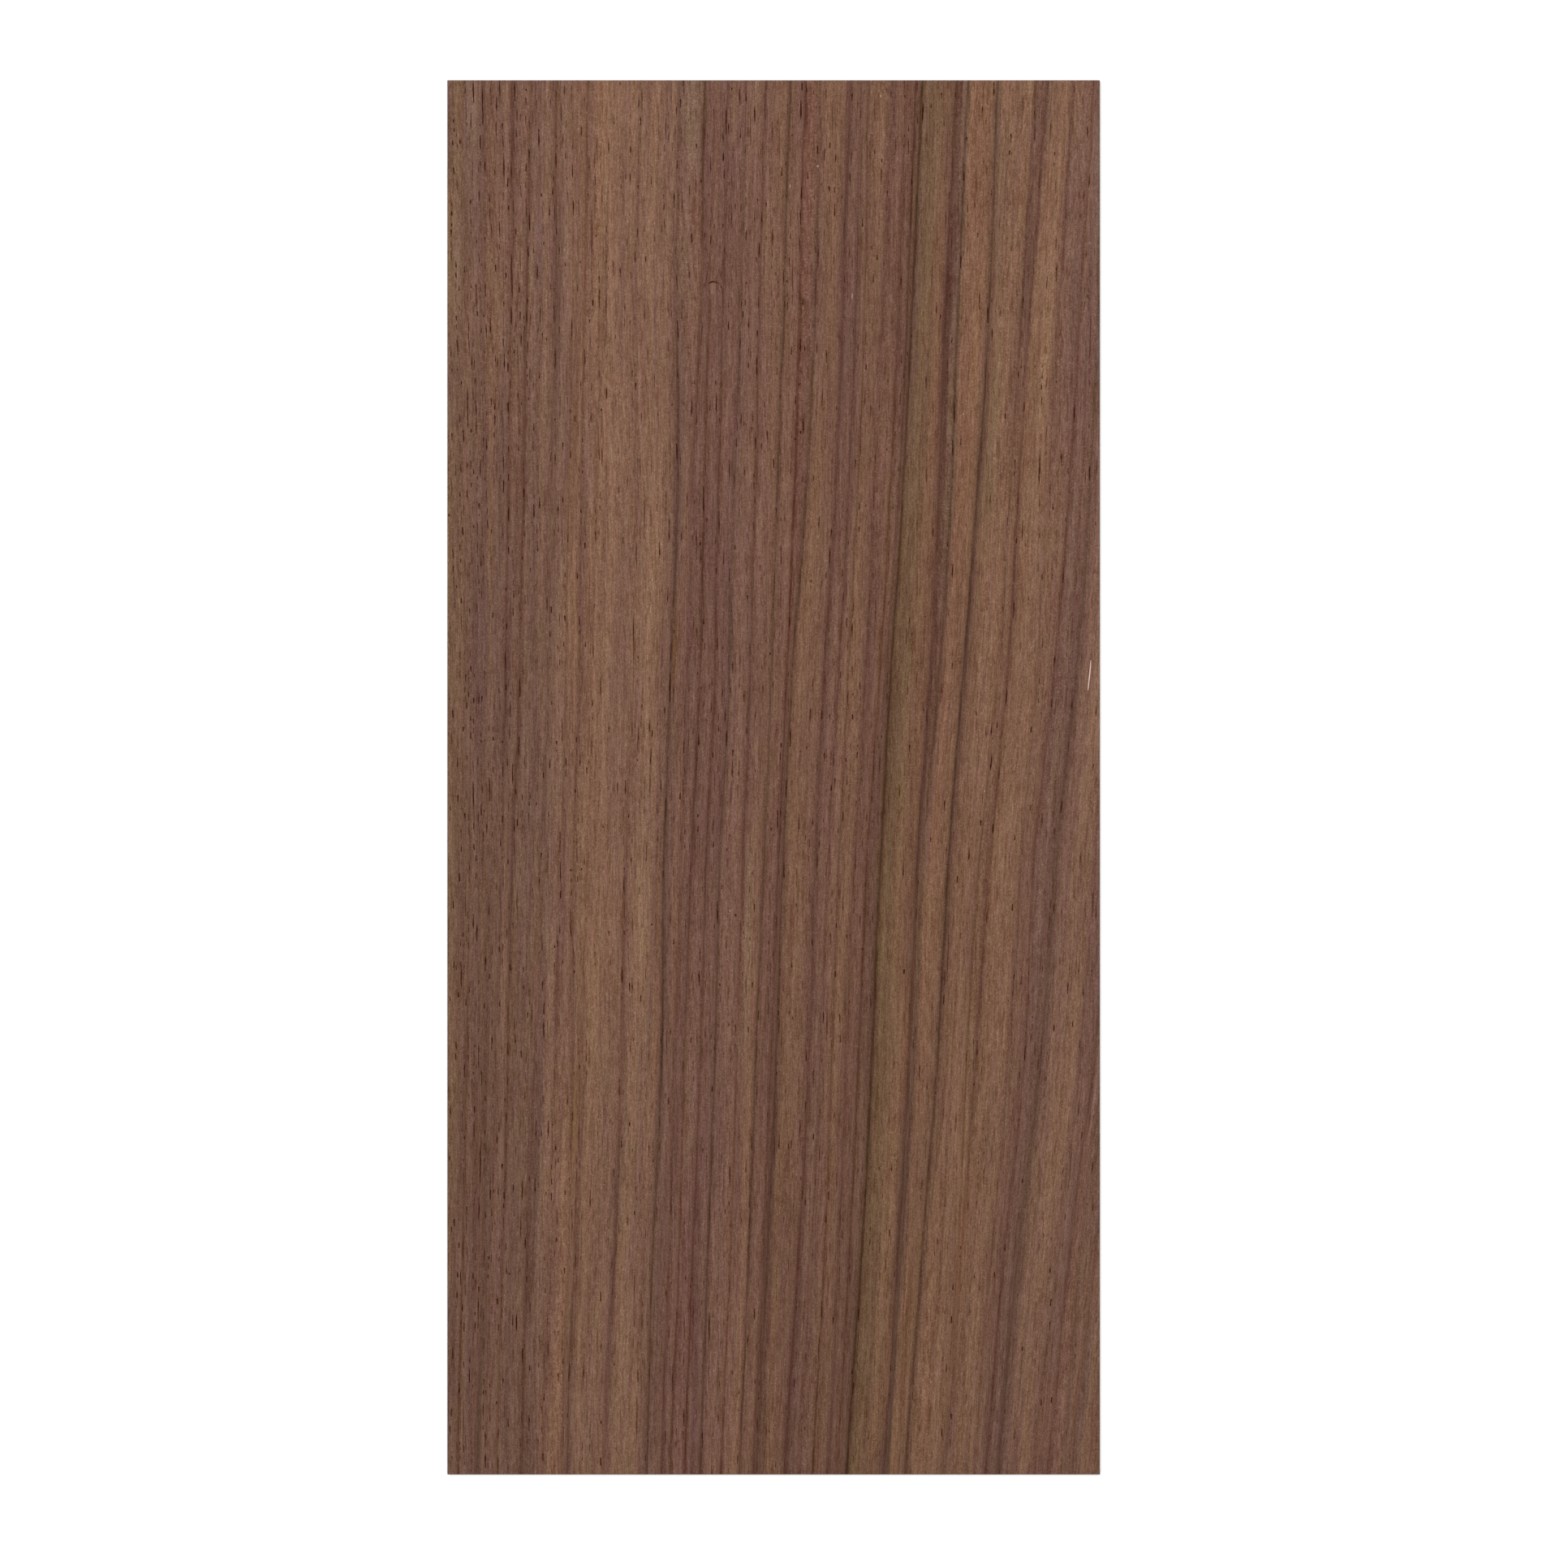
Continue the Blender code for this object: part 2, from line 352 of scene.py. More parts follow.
# Vessels that stand out on this leaf, from the widest to the finest: width, how deep they are for
# their width, and each one's x, y and length.
BOLD_VESSELS = (
    (0.34, 0.46, (
        (-62.6, 144.8, 10.2), (-55.7, 147.5, 4.4), (-50.5, 137.6, 4.2), (-50.6, 134.1, 2.2),
        (-52.5, 119.6, 4.4), (-56.3, 107.6, 11.0), (-56.4, 99.2, 4.2), (-52.8, 113.0, 3.0),
        (-10.2, 141.0, 6.0), (-10.8, 133.5, 2.4), (-13.5, 115.6, 2.6), (-20.6, 96.0, 5.0),
        (-3.6, 88.4, 5.6), (-57.1, 79.6, 2.6), (6.1, 148.6, 2.0), (5.9, 143.6, 4.8),
        (16.9, 146.3, 2.0), (10.9, 134.0, 2.8), (6.0, 125.6, 3.0), (12.0, 126.6, 1.5),
        (32.1, 143.0, 5.0), (44.3, 102.6, 4.4), (46.1, 99.6, 4.0), (40.3, 111.0, 3.4),
        (5.8, 93.0, 3.0), (19.9, 88.2, 1.5), (38.9, 78.4, 5.0), (49.9, 77.7, 1.5),
        (-66.7, 73.4, 3.0), (-53.7, 61.2, 2.3), (-57.0, 56.6, 3.4), (-66.9, 53.0, 2.4),
        (-57.4, 32.5, 1.8), (-67.2, 38.0, 1.6), (-20.8, 70.0, 4.0), (-15.1, 59.5, 7.0),
        (-3.9, 72.0, 3.0), (-22.3, 19.4, 7.0), (-54.6, 19.4, 4.6), (-54.8, 6.6, 4.6),
        (-57.6, 19.3, 1.7), (-64.5, 16.6, 1.6), (-66.7, 10.4, 1.2), (-16.1, 8.0, 2.8),
        (-10.1, 8.4, 3.6), (-13.1, 4.8, 1.5), (38.5, 44.5, 3.4), (68.0, 65.4, 3.6),
        (3.4, 33.5, 2.4), (3.6, 8.6, 4.4), (55.4, 10.3, 1.7), (46.8, 3.0, 3.4),
        (60.4, 25.0, 2.8), (17.0, 13.0, 1.4), (10.4, 13.4, 2.4), (-58.3, -9.0, 2.0),
        (-61.1, -2.6, 5.6), (-67.6, -21.5, 2.4), (-62.0, -40.0, 3.4), (-12.1, -29.0, 5.4),
        (-16.0, -43.2, 3.6), (2.7, -2.6, 4.4), (12.4, -2.3, 1.5), (36.8, -6.0, 2.8),
        (44.6, -9.8, 1.6), (47.2, -11.0, 2.6), (61.9, -6.4, 2.8), (51.4, -28.0, 1.8),
        (8.3, -35.5, 1.8), (13.3, -42.3, 1.6), (28.1, -41.8, 1.3), (-58.4, -83.7, 1.4),
        (-60.9, -89.8, 2.6), (-68.7, -95.8, 2.0), (-53.4, -100.2, 2.8), (-59.4, -112.7, 1.6),
        (-55.3, -117.2, 4.0), (-69.0, -124.0, 2.8), (-54.0, -124.4, 3.6), (-67.6, -131.5, 2.8),
        (-59.6, -134.6, 0.8), (-62.0, -147.0, 3.4), (-49.6, -146.2, 2.0), (-37.1, -138.7, 0.9),
        (-37.2, -111.7, 2.5), (-9.4, -86.0, 5.0), (-68.0, -107.0, 1.4), (38.3, -116.7, 2.0),
        (59.6, -113.0, 2.0), (18.3, -115.6, 2.8), (17.1, -131.5, 3.0), (6.9, -91.6, 1.6),
        (53.6, -86.8, 1.2), (38.2, -137.5, 1.6), (59.8, -134.0, 1.6), (-37.2, -147.2, 2.2),
    )),
    (0.29, 0.38, (
        (-59.7, 139.6, 3.2), (-59.6, 144.8, 3.6), (-52.6, 133.8, 3.4), (-62.1, 131.4, 2.6),
        (-57.2, 128.0, 2.4), (-47.5, 126.2, 2.0), (-46.8, 132.8, 3.4), (-63.4, 125.2, 2.8),
        (-47.1, 121.4, 4.2), (-46.7, 117.6, 2.0), (-43.1, 122.6, 3.8), (-62.0, 104.8, 3.2),
        (-54.7, 105.4, 2.8), (-54.5, 99.2, 2.6), (-47.2, 99.6, 4.4), (-47.0, 90.0, 5.6),
        (-40.6, 90.2, 4.2), (-52.9, 92.6, 2.8), (-56.6, 84.5, 2.4), (-64.9, 89.0, 2.8),
        (-64.0, 75.4, 3.4), (-59.8, 109.5, 2.0), (-48.2, 121.8, 2.4), (-20.0, 145.0, 2.4),
        (-20.9, 143.2, 2.8), (-28.6, 141.2, 2.2), (-29.0, 145.2, 2.6), (-7.3, 146.6, 4.4),
        (-5.9, 146.4, 2.4), (-17.6, 116.0, 2.6), (-20.5, 124.2, 5.0), (-2.5, 120.5, 3.0),
        (-3.1, 113.4, 3.8), (-5.9, 116.6, 2.8), (-20.8, 106.6, 3.8), (-29.8, 112.0, 2.8),
        (-3.5, 95.4, 2.0), (-7.2, 93.4, 2.8), (-17.6, 79.6, 4.6), (-29.3, 117.2, 2.6),
        (7.1, 148.2, 2.8), (5.8, 120.6, 3.8), (16.4, 129.0, 2.2), (44.9, 143.2, 3.0),
        (47.4, 148.0, 3.4), (56.2, 142.4, 2.6), (41.0, 129.2, 2.4), (47.0, 95.2, 2.8),
        (67.9, 128.4, 3.4), (22.3, 112.0, 1.6), (12.1, 136.0, 1.6), (19.1, 119.4, 2.4),
        (52.7, 86.7, 1.8), (64.7, 78.4, 4.6), (11.4, 90.6, 3.2), (-58.1, 67.4, 4.2),
        (-58.1, 62.6, 3.2), (-57.0, 70.6, 1.6), (-65.9, 61.0, 2.0), (-67.5, 61.0, 1.5),
        (-45.3, 71.2, 2.0), (-57.0, 48.8, 2.0), (-60.4, 35.0, 1.5), (-29.5, 47.6, 6.2),
        (-18.6, 59.8, 3.4), (-9.5, 43.5, 3.6), (-5.6, 38.4, 2.0), (-22.1, 27.0, 5.6),
        (-23.4, 14.0, 3.0), (-66.0, 15.5, 2.0), (-63.4, 17.0, 2.8), (-65.2, 9.0, 2.0),
        (-48.1, 3.0, 2.4), (-68.0, 3.2, 2.4), (-26.7, 11.0, 2.8), (-19.3, 6.4, 2.8),
        (-49.5, 0.6, 1.6), (17.6, 67.4, 2.4), (18.4, 58.4, 2.0), (9.8, 55.0, 2.8),
        (12.4, 52.4, 2.8), (12.1, 47.4, 5.4), (38.5, 70.8, 4.0), (34.3, 52.6, 2.4),
        (37.4, 50.2, 1.1), (61.9, 68.4, 3.0), (60.1, 58.4, 2.0), (52.3, 51.0, 1.6),
        (57.8, 43.0, 1.6), (16.0, 17.0, 3.6), (16.9, 31.6, 3.6), (50.1, 17.4, 4.0),
        (59.8, 16.0, 2.4), (46.9, 10.4, 3.4), (-66.4, -8.5, 2.0), (-67.9, -4.5, 2.0),
        (-61.7, -11.0, 2.4), (-50.0, -17.0, 2.0), (-67.2, -15.3, 1.6), (-57.1, -18.2, 1.4),
        (-64.0, -21.3, 1.6), (-50.4, -22.3, 1.6), (-68.9, -27.4, 2.4), (-61.2, -28.4, 3.4),
        (-64.6, -31.0, 3.4), (-59.0, -37.0, 1.6), (-68.8, -40.3, 1.8), (-61.1, -42.8, 1.4),
        (-32.6, -42.5, 4.6), (-31.9, -2.2, 3.4), (-23.2, -7.0, 6.4), (-20.1, -4.0, 2.0),
        (-21.5, -35.3, 1.6), (-49.7, -44.8, 2.8), (-53.7, -45.2, 1.3), (-66.2, -48.3, 2.0),
        (-58.9, -48.7, 1.6), (-52.9, -51.2, 1.6), (-55.6, -56.3, 2.4), (-60.6, -57.0, 3.6),
        (-68.3, -57.6, 2.0), (-68.4, -60.2, 1.8), (-65.6, -60.2, 1.3), (-54.3, -59.6, 2.0),
        (-62.8, -64.4, 4.0), (-62.0, -69.0, 1.6), (-57.5, -73.4, 2.8), (-41.7, -62.4, 1.4),
        (-28.6, -47.6, 2.0), (-22.2, -54.8, 1.6), (-22.6, -69.6, 2.0), (-31.0, -74.6, 1.0),
        (-5.4, -54.3, 1.6), (-4.6, -44.7, 1.6), (-13.2, -67.0, 1.6), (14.9, -8.4, 2.8),
        (8.4, -9.4, 2.0), (55.3, -6.5, 1.6), (57.8, -9.0, 2.8), (60.4, -12.0, 2.8),
        (39.5, -22.0, 2.0), (45.9, -30.2, 3.0), (60.3, -28.0, 3.0), (13.5, -31.8, 1.4),
        (3.9, -40.3, 1.6), (63.3, -45.4, 2.8), (10.7, -51.6, 2.8), (41.5, -60.2, 2.4),
        (43.8, -58.4, 4.0), (54.1, -59.4, 3.8), (33.8, -13.5, 1.4), (51.9, -13.0, 1.3),
        (-63.1, -83.0, 10.6), (-63.4, -92.8, 5.6), (-51.3, -88.0, 4.0), (-54.1, -89.0, 5.0),
        (-59.2, -89.0, 1.8), (-62.0, -94.0, 2.0), (-67.7, -100.7, 1.6), (-52.5, -127.0, 1.6),
        (-49.4, -133.3, 2.0), (-57.1, -138.8, 2.6), (-69.6, -140.2, 2.0), (-69.3, -136.6, 2.0),
        (-62.0, -142.4, 3.6), (-52.6, -139.0, 3.8), (-32.7, -79.0, 2.0), (-29.9, -93.7, 1.1),
        (-10.4, -93.5, 1.3), (-23.1, -111.5, 2.8), (-4.1, -115.5, 2.8), (-15.3, -142.4, 4.4),
        (-3.5, -139.4, 3.6), (3.8, -79.0, 2.4), (5.9, -86.3, 1.1), (68.6, -84.0, 2.8),
        (68.7, -92.5, 2.0), (11.3, -95.0, 2.0), (24.9, -98.0, 2.0), (35.2, -99.8, 1.6),
        (49.8, -101.0, 2.0), (38.6, -109.7, 1.6), (43.2, -107.3, 1.2), (47.5, -107.0, 1.6),
        (44.3, -110.0, 1.3), (59.5, -106.0, 1.6), (37.2, -127.0, 2.4), (4.5, -130.4, 2.4),
        (57.6, -134.4, 2.0), (49.8, -136.5, 1.3), (36.2, -141.0, 2.4), (53.5, -123.0, 1.3),
    )),
    (0.24, 0.32, (
        (-60.8, 147.0, 5.4), (-55.2, 142.6, 2.8), (-54.5, 142.0, 2.0), (-51.8, 142.0, 3.0),
        (-46.8, 146.2, 4.4), (-48.0, 145.0, 2.0), (-57.6, 131.2, 3.4), (-56.4, 130.6, 3.8),
        (-47.4, 129.4, 3.2), (-45.3, 137.5, 2.4), (-44.6, 140.6, 2.0), (-58.1, 125.0, 2.2),
        (-44.4, 125.0, 4.0), (-38.4, 128.4, 3.4), (-38.3, 124.6, 2.2), (-38.5, 132.4, 3.0),
        (-39.1, 116.6, 11.0), (-60.7, 117.6, 3.4), (-56.9, 116.2, 2.0), (-46.1, 113.0, 2.8),
        (-63.1, 105.6, 2.8), (-48.0, 105.6, 2.0), (-42.2, 105.4, 2.0), (-50.2, 99.6, 3.8),
        (-49.7, 94.8, 2.4), (-60.4, 91.6, 2.4), (-59.3, 89.4, 2.0), (-51.7, 84.0, 2.8),
        (-41.5, 84.0, 2.8), (-28.3, 145.6, 5.6), (-12.9, 143.0, 2.4), (-5.0, 139.0, 7.0),
        (-8.7, 135.0, 4.4), (-6.1, 135.2, 2.6), (-23.2, 139.6, 4.8), (-23.5, 135.4, 2.0),
        (-21.8, 135.6, 2.4), (-31.8, 129.6, 3.0), (-26.3, 128.5, 2.4), (-18.1, 126.4, 2.4),
        (-16.7, 128.0, 5.6), (-24.1, 118.0, 2.4), (-9.0, 120.6, 5.6), (-8.2, 122.6, 2.0),
        (-36.0, 111.6, 2.4), (-34.5, 109.6, 3.6), (-33.0, 108.6, 2.4), (-7.4, 103.4, 5.4),
        (-27.8, 100.2, 3.8), (-36.0, 101.4, 4.6), (-22.7, 93.0, 3.4), (-27.5, 85.6, 2.4),
        (-28.4, 77.6, 2.4), (11.3, 147.0, 3.2), (1.0, 141.6, 3.4), (18.7, 142.6, 2.4),
        (5.6, 114.4, 3.8), (21.8, 134.0, 2.4), (11.5, 120.6, 4.6), (45.1, 147.6, 3.6),
        (45.2, 131.6, 4.4), (45.9, 130.4, 2.4), (43.6, 127.2, 3.4), (43.3, 123.6, 3.0),
        (53.7, 144.6, 4.2), (56.2, 138.4, 4.4), (64.7, 148.0, 2.4), (66.8, 125.4, 3.8),
        (1.0, 106.0, 2.4), (9.6, 112.0, 5.4), (16.0, 105.0, 4.8), (9.3, 92.4, 2.8),
        (20.9, 78.8, 3.0), (33.2, 91.0, 2.4), (56.5, 117.4, 3.4), (60.8, 115.0, 3.8),
        (60.7, 127.0, 3.0), (58.7, 85.0, 2.4), (27.5, 90.0, 2.4), (-67.3, 66.5, 2.4),
        (-68.4, 66.0, 2.8), (-51.7, 71.4, 2.8), (-47.9, 69.0, 2.4), (-62.4, 47.0, 2.8),
        (-65.4, 35.4, 2.4), (-63.8, 36.6, 2.4), (-41.5, 50.6, 2.0), (-32.4, 51.0, 2.0),
        (-27.8, 56.6, 6.4), (-23.1, 59.0, 6.4), (-25.1, 58.0, 2.0), (-20.0, 68.0, 2.0),
        (-33.3, 62.0, 2.0), (-8.5, 64.0, 4.6), (-7.4, 57.0, 2.8), (-53.6, 3.6, 2.8),
        (-63.6, 3.6, 2.4), (-28.5, 12.0, 2.8), (-2.3, 19.0, 2.4), (-6.4, 17.2, 2.0),
        (-9.2, 18.5, 2.4), (-38.8, 27.0, 3.8), (-37.2, 19.6, 4.8), (-5.1, 27.6, 2.8),
        (3.7, 66.4, 2.8), (18.7, 70.6, 2.8), (21.9, 68.4, 2.8), (40.8, 66.0, 3.8),
        (67.1, 64.4, 2.8), (57.2, 59.0, 2.0), (50.3, 55.0, 2.4), (62.3, 43.4, 3.8),
        (60.0, 43.0, 2.0), (15.0, 38.4, 3.8), (17.1, 36.0, 3.8), (8.4, 20.5, 2.4),
        (12.1, 12.8, 2.0), (29.2, 33.4, 2.8), (33.0, 13.0, 3.6), (45.7, 10.0, 2.8),
        (48.5, 1.0, 2.8), (57.9, 29.0, 2.8), (69.4, 14.4, 2.4), (-60.5, -12.3, 1.6),
        (-59.6, -23.6, 2.4), (-55.2, -27.0, 7.4), (-57.4, -33.6, 2.8), (-47.2, -41.0, 2.8),
        (-46.0, -32.6, 2.8), (-35.1, -39.4, 2.8), (-28.9, -24.4, 2.0), (-30.6, -18.6, 3.8),
        (-24.9, -12.6, 3.8), (-13.0, -10.6, 4.6), (-10.0, -18.4, 2.4), (-5.2, -24.0, 2.0),
        (-11.1, -33.6, 2.4), (-15.8, -38.2, 3.8), (-49.8, -36.0, 3.8), (-64.0, -49.0, 3.4),
        (-49.6, -69.2, 2.0), (-44.3, -69.4, 2.4), (-43.2, -73.0, 2.4), (-30.9, -58.4, 2.0),
        (-24.2, -57.0, 2.8), (-14.7, -55.0, 2.8), (-12.7, -58.2, 2.0), (-11.4, -47.6, 2.0),
        (27.1, -3.0, 2.8), (45.0, -4.6, 2.4), (19.1, -14.0, 2.4), (43.8, -28.0, 2.0),
        (64.6, -25.0, 2.4), (69.4, -29.0, 3.6), (11.1, -39.0, 3.6), (65.7, -41.0, 2.8),
        (0.6, -31.2, 2.8), (21.3, -30.0, 2.8), (1.7, -56.4, 4.6), (56.2, -58.4, 2.8),
        (31.4, -63.4, 3.8), (33.0, -66.2, 2.8), (42.7, -73.0, 2.0), (-55.5, -80.4, 2.4),
        (-54.4, -96.8, 5.4), (-60.5, -96.6, 2.8), (-60.7, -103.4, 2.4), (-63.0, -115.0, 2.8),
        (-48.5, -123.0, 3.8), (-54.5, -143.0, 2.8), (-26.8, -80.0, 3.8), (-28.8, -86.4, 2.8),
        (-13.7, -92.8, 6.4), (-33.3, -97.0, 2.8), (-34.8, -104.2, 3.4), (-42.6, -104.2, 3.8),
        (-28.3, -117.0, 4.6), (-46.3, -114.0, 2.4), (-26.7, -128.0, 4.6), (-29.4, -138.0, 11.0),
        (-11.9, -138.0, 2.8), (-23.3, -142.0, 3.8), (-44.0, -128.0, 5.4), (9.9, -81.0, 3.8),
        (45.2, -85.6, 4.6), (66.3, -77.2, 2.4), (36.9, -91.4, 2.4), (41.8, -92.4, 2.4),
        (12.1, -101.4, 2.8), (58.0, -99.0, 2.4), (3.2, -105.0, 3.6), (59.4, -118.0, 2.4),
        (29.9, -133.0, 2.4), (38.0, -143.2, 2.4), (51.8, -141.4, 2.4), (3.9, -143.0, 2.8),
    )),
)

# The face is booked in small cells, so that no groove runs into another.
LEAF_NUMBER = 61
CELL_WIDTH = 0.06
CELL_LENGTH = 0.25
SIDE_GAP = 0.07
END_GAP = 0.1
draw = np.random.default_rng(LEAF_NUMBER)
cells = (int(2 * HALF_WIDTH / CELL_WIDTH) + 2, int(2 * HALF_LENGTH / CELL_LENGTH) + 2)
taken = np.zeros(cells, dtype=bool)
vessels = []


def free_place(x, y, length, width):
    """Books the strip that a groove needs, and says whether it was still free."""
    left = int((x - width * 0.5 - SIDE_GAP + HALF_WIDTH) / CELL_WIDTH)
    right = int((x + width * 0.5 + SIDE_GAP + HALF_WIDTH) / CELL_WIDTH) + 1
    low = int((y - length * 0.5 - END_GAP + HALF_LENGTH) / CELL_LENGTH)
    high = int((y + length * 0.5 + END_GAP + HALF_LENGTH) / CELL_LENGTH) + 1
    if left < 2 or right >= taken.shape[0] - 3:
        return False
    low = max(low, 0)
    if taken[left:right, low:high].any():
        return False
    taken[left:right, low:high] = True
    return True


def across_one(ring, along):
    return float(across_leaf(np.array([ring]), np.array([float(along)]))[0])


def ring_of(x, along):
    return float(ring_at(np.array([x]), np.array([along]))[0])


# A nick across the grain and a splinter keep their places free.
NICK_MIDDLE = (-12.7, 106.0)
SPLINTER_HEAD = np.array((68.27, 25.3))
SPLINTER_FOOT = np.array((67.62, 18.6))
NICK_PLACE = (12.0, 5.2)
SPLINTER_PLACE = (9.0, 1.5)
free_place(*NICK_MIDDLE, *NICK_PLACE)
free_place(*((SPLINTER_HEAD + SPLINTER_FOOT) / 2), *SPLINTER_PLACE)

for width, deep_for_width, bold in BOLD_VESSELS:
    for x, along, length in bold:
        ring = ring_of(x, along)
        if free_place(x, along, length, width + 0.1):
            vessels.append((ring, along, length, width, deep_for_width * width))

# One vessel often runs on below another, a little to one side, where it dips in and out of the face.
RUNS_ON = 0.45
RUN_ON_GAP = (0.3, 1.6)
RUN_ON_SHIFT = 0.16
FINEST_VESSEL = 0.15
WIDTH_SPREAD = 0.17
FLATTEST_CUT = 0.14
CUT_SPREAD = 0.5
HEAD_DEPTH = 1.1
LEAST_DEPTH = 0.026
LINE_REACH = 0.6
run_on = None
while len(vessels) < VESSELS:
    length = math.exp(draw.normal(math.log(TYPICAL_VESSEL), VESSEL_SPREAD))
    length = min(max(length, SHORTEST_VESSEL), LONGEST_VESSEL)
    width = FINEST_VESSEL + WIDTH_SPREAD * draw.uniform(0, 1) ** 1.3
    if run_on and draw.uniform(0, 1) < RUNS_ON:
        along = run_on[1] - run_on[2] / 2 - length / 2 - draw.uniform(*RUN_ON_GAP)
        ring = run_on[0] - SPIRAL * (along - run_on[1]) + draw.uniform(-RUN_ON_SHIFT, RUN_ON_SHIFT)
        x = across_one(ring, along)
        run_on = None
        if abs(x) > HALF_WIDTH or along < -HALF_LENGTH:
            continue
        chance = 0.0
    else:
        run_on = None
        x = draw.uniform(-HALF_WIDTH, HALF_WIDTH)
        along = draw.uniform(-HALF_LENGTH, HALF_LENGTH)
        chance = draw.uniform(0, 3.2)
    if chance > 2 * np.interp(x, CROWD_AT, CROWDING):
        continue
    ring = ring_of(x, along)
    off_line = np.abs(RING - ring).min()
    files = sum(math.sin(6.28 * (ring / wide + along / tall) + turn) for wide, tall, turn in FILE_WAVES)
    near_line = math.exp(-((off_line / LINE_REACH) ** 2))
    if chance > np.interp(x, CROWD_AT, CROWDING) * (0.6 + 1.3 * near_line + 0.4 * files):
        continue
    lean = abs(across_one(ring, along + length / 2) - x)
    if free_place(x, along, length, width + 1.6 * lean):
        depth = width * (FLATTEST_CUT + CUT_SPREAD * draw.uniform(0, 1) ** 1.2)
        depth *= np.interp(x, DEPTH_AT, DEPTH)
        depth *= np.interp(along, (-HALF_LENGTH, HALF_LENGTH), (FOOT_DEPTH, HEAD_DEPTH))
        run_on = (ring, along, length, width, max(depth, LEAST_DEPTH))
        vessels.append(run_on)

# The knife checks and a few opened vessels on the loose face.
BACK_CHECKS = 230
CHECK_LENGTHS = (2.0, 16.0)
CHECK_WIDTHS = (0.07, 0.2)
CHECK_GAP = 0.5
backs = []
taken[:] = False
while len(backs) < BACK_CHECKS:
    x = draw.uniform(-HALF_WIDTH, HALF_WIDTH)
    along = draw.uniform(-HALF_LENGTH, HALF_LENGTH)
    length = float(draw.uniform(*CHECK_LENGTHS))
    width = draw.uniform(*CHECK_WIDTHS)
    if free_place(x, along, length, width + CHECK_GAP):
        ring = ring_of(x, along)
        backs.append((ring, along, length, width, width * 0.5))


def boats(grooves, boat, height, lift, pinch):
    """Copies of one boat, placed along the grain, as vertex rows and face lists."""
    hull, skin = boat
    size = np.array(grooves, dtype=float)
    along = (size[:, 1, None] + hull[None, :, 1] * size[:, 2, None] / 2).ravel()
    ring = np.repeat(size[:, 0], len(hull)) - SPIRAL * (along - np.repeat(size[:, 1], len(hull)))
    swell = 1 + pinch * np.sin(along * 3.1 + ring * 17.0)
    waver = 0.035 * np.sin(along * 2.3 + ring * 29.0)
    x = across_leaf(ring, along) + waver + (hull[None, :, 0] * size[:, 3, None] / 2).ravel() * swell
    z = height + (hull[None, :, 2] * size[:, 4, None]).ravel() * swell
    z += lift * np.repeat(size[:, 4], len(hull))
    shift = np.arange(len(size)) * len(hull)
    faces = [tuple(v + start for v in face) for start in shift for face in skin]
    return np.stack([x, along, z], axis=1), faces


def loose_mesh(name, groups):
    """One mesh of many separate closed shapes."""
    places = np.concatenate([group[0] for group in groups])
    faces = []
    start = 0
    for rows, group_faces in groups:
        faces += [tuple(v + start for v in face) for face in group_faces]
        start += len(rows)
    mesh = bpy.data.meshes.new(name)
    mesh.from_pydata((places * MM).tolist(), [], faces)
    mesh.update()
    shape = bpy.data.objects.new(name, mesh)
    bpy.context.scene.collection.objects.link(shape)
    return shape


short = [groove for groove in vessels if groove[2] < JOINTED_VESSEL]
jointed = [groove for groove in vessels if JOINTED_VESSEL <= groove[2] < LONG_VESSEL]
long = [groove for groove in vessels if groove[2] >= LONG_VESSEL]
AFLOAT = 0.12
groups = [
    boats(short, BOATS[0], THICKNESS, AFLOAT, 0.22),
    boats(jointed, BOATS[1], THICKNESS, AFLOAT, 0.26),
    boats(long, BOATS[2], THICKNESS, AFLOAT, 0.24),
    boats(backs, BOATS[1], 0.0, -AFLOAT, 0.2),
]

hull, skin = BOATS[2]


def bent_boat(path, width, depth, height):
    """A boat bent to run through four points, thickest in the middle, with its waterline at a height."""
    path = np.array(path)
    run = np.interp(np.arange(len(path)), (0, len(path) - 1), (-1, 1))
    ahead = np.stack([np.gradient(path[:, 0]), np.gradient(path[:, 1])], axis=1)
    ahead /= np.linalg.norm(ahead, axis=1)[:, None]
    spot = np.stack([np.interp(hull[:, 1], run, path[:, axis]) for axis in (0, 1)], axis=1)
    aside = np.stack(
        [np.interp(hull[:, 1], run, ahead[:, 1]), -np.interp(hull[:, 1], run, ahead[:, 0])], axis=1
    )
    spot += aside * (hull[:, 0] * width / 2)[:, None]
    return np.column_stack([spot, THICKNESS + height + hull[:, 2] * depth])


# An arched nick across the grain, where the fibres tore over a pin knot, and the two hair cracks that
# lead into it and out of it: path, width and depth.
NICK = (
    (((-14.15, 106.2), (-13.4, 106.6), (-12.75, 106.7), (-11.7, 106.25)), 0.42, 0.14),
    (((-11.6, 106.0), (-11.25, 105.5), (-11.0, 104.7), (-10.87, 102.4)), 0.28, 0.07),
    (((-13.9, 111.0), (-14.1, 109.4), (-14.4, 107.8), (-14.55, 106.3)), 0.26, 0.055),
)
for path, width, depth in NICK:
    groups.append((bent_boat(path, width, depth, 0.02), skin))

# A splinter lifted near the right edge: its gouge is cut with the grooves, and the pale torn sliver
# that still stands in it is joined on afterwards.
SPLINTER_PATH = (SPLINTER_HEAD, (68.1, 22.9), (67.85, 20.7), SPLINTER_FOOT)
GOUGE_WIDTH = 0.56
GOUGE_DEPTH = 0.07
SPLINTER_WIDTH = 0.30
SPLINTER_DEPTH = 0.07
groups.append((bent_boat(SPLINTER_PATH, GOUGE_WIDTH, GOUGE_DEPTH, 0.01), skin))
cutter = loose_mesh("grooves", groups)

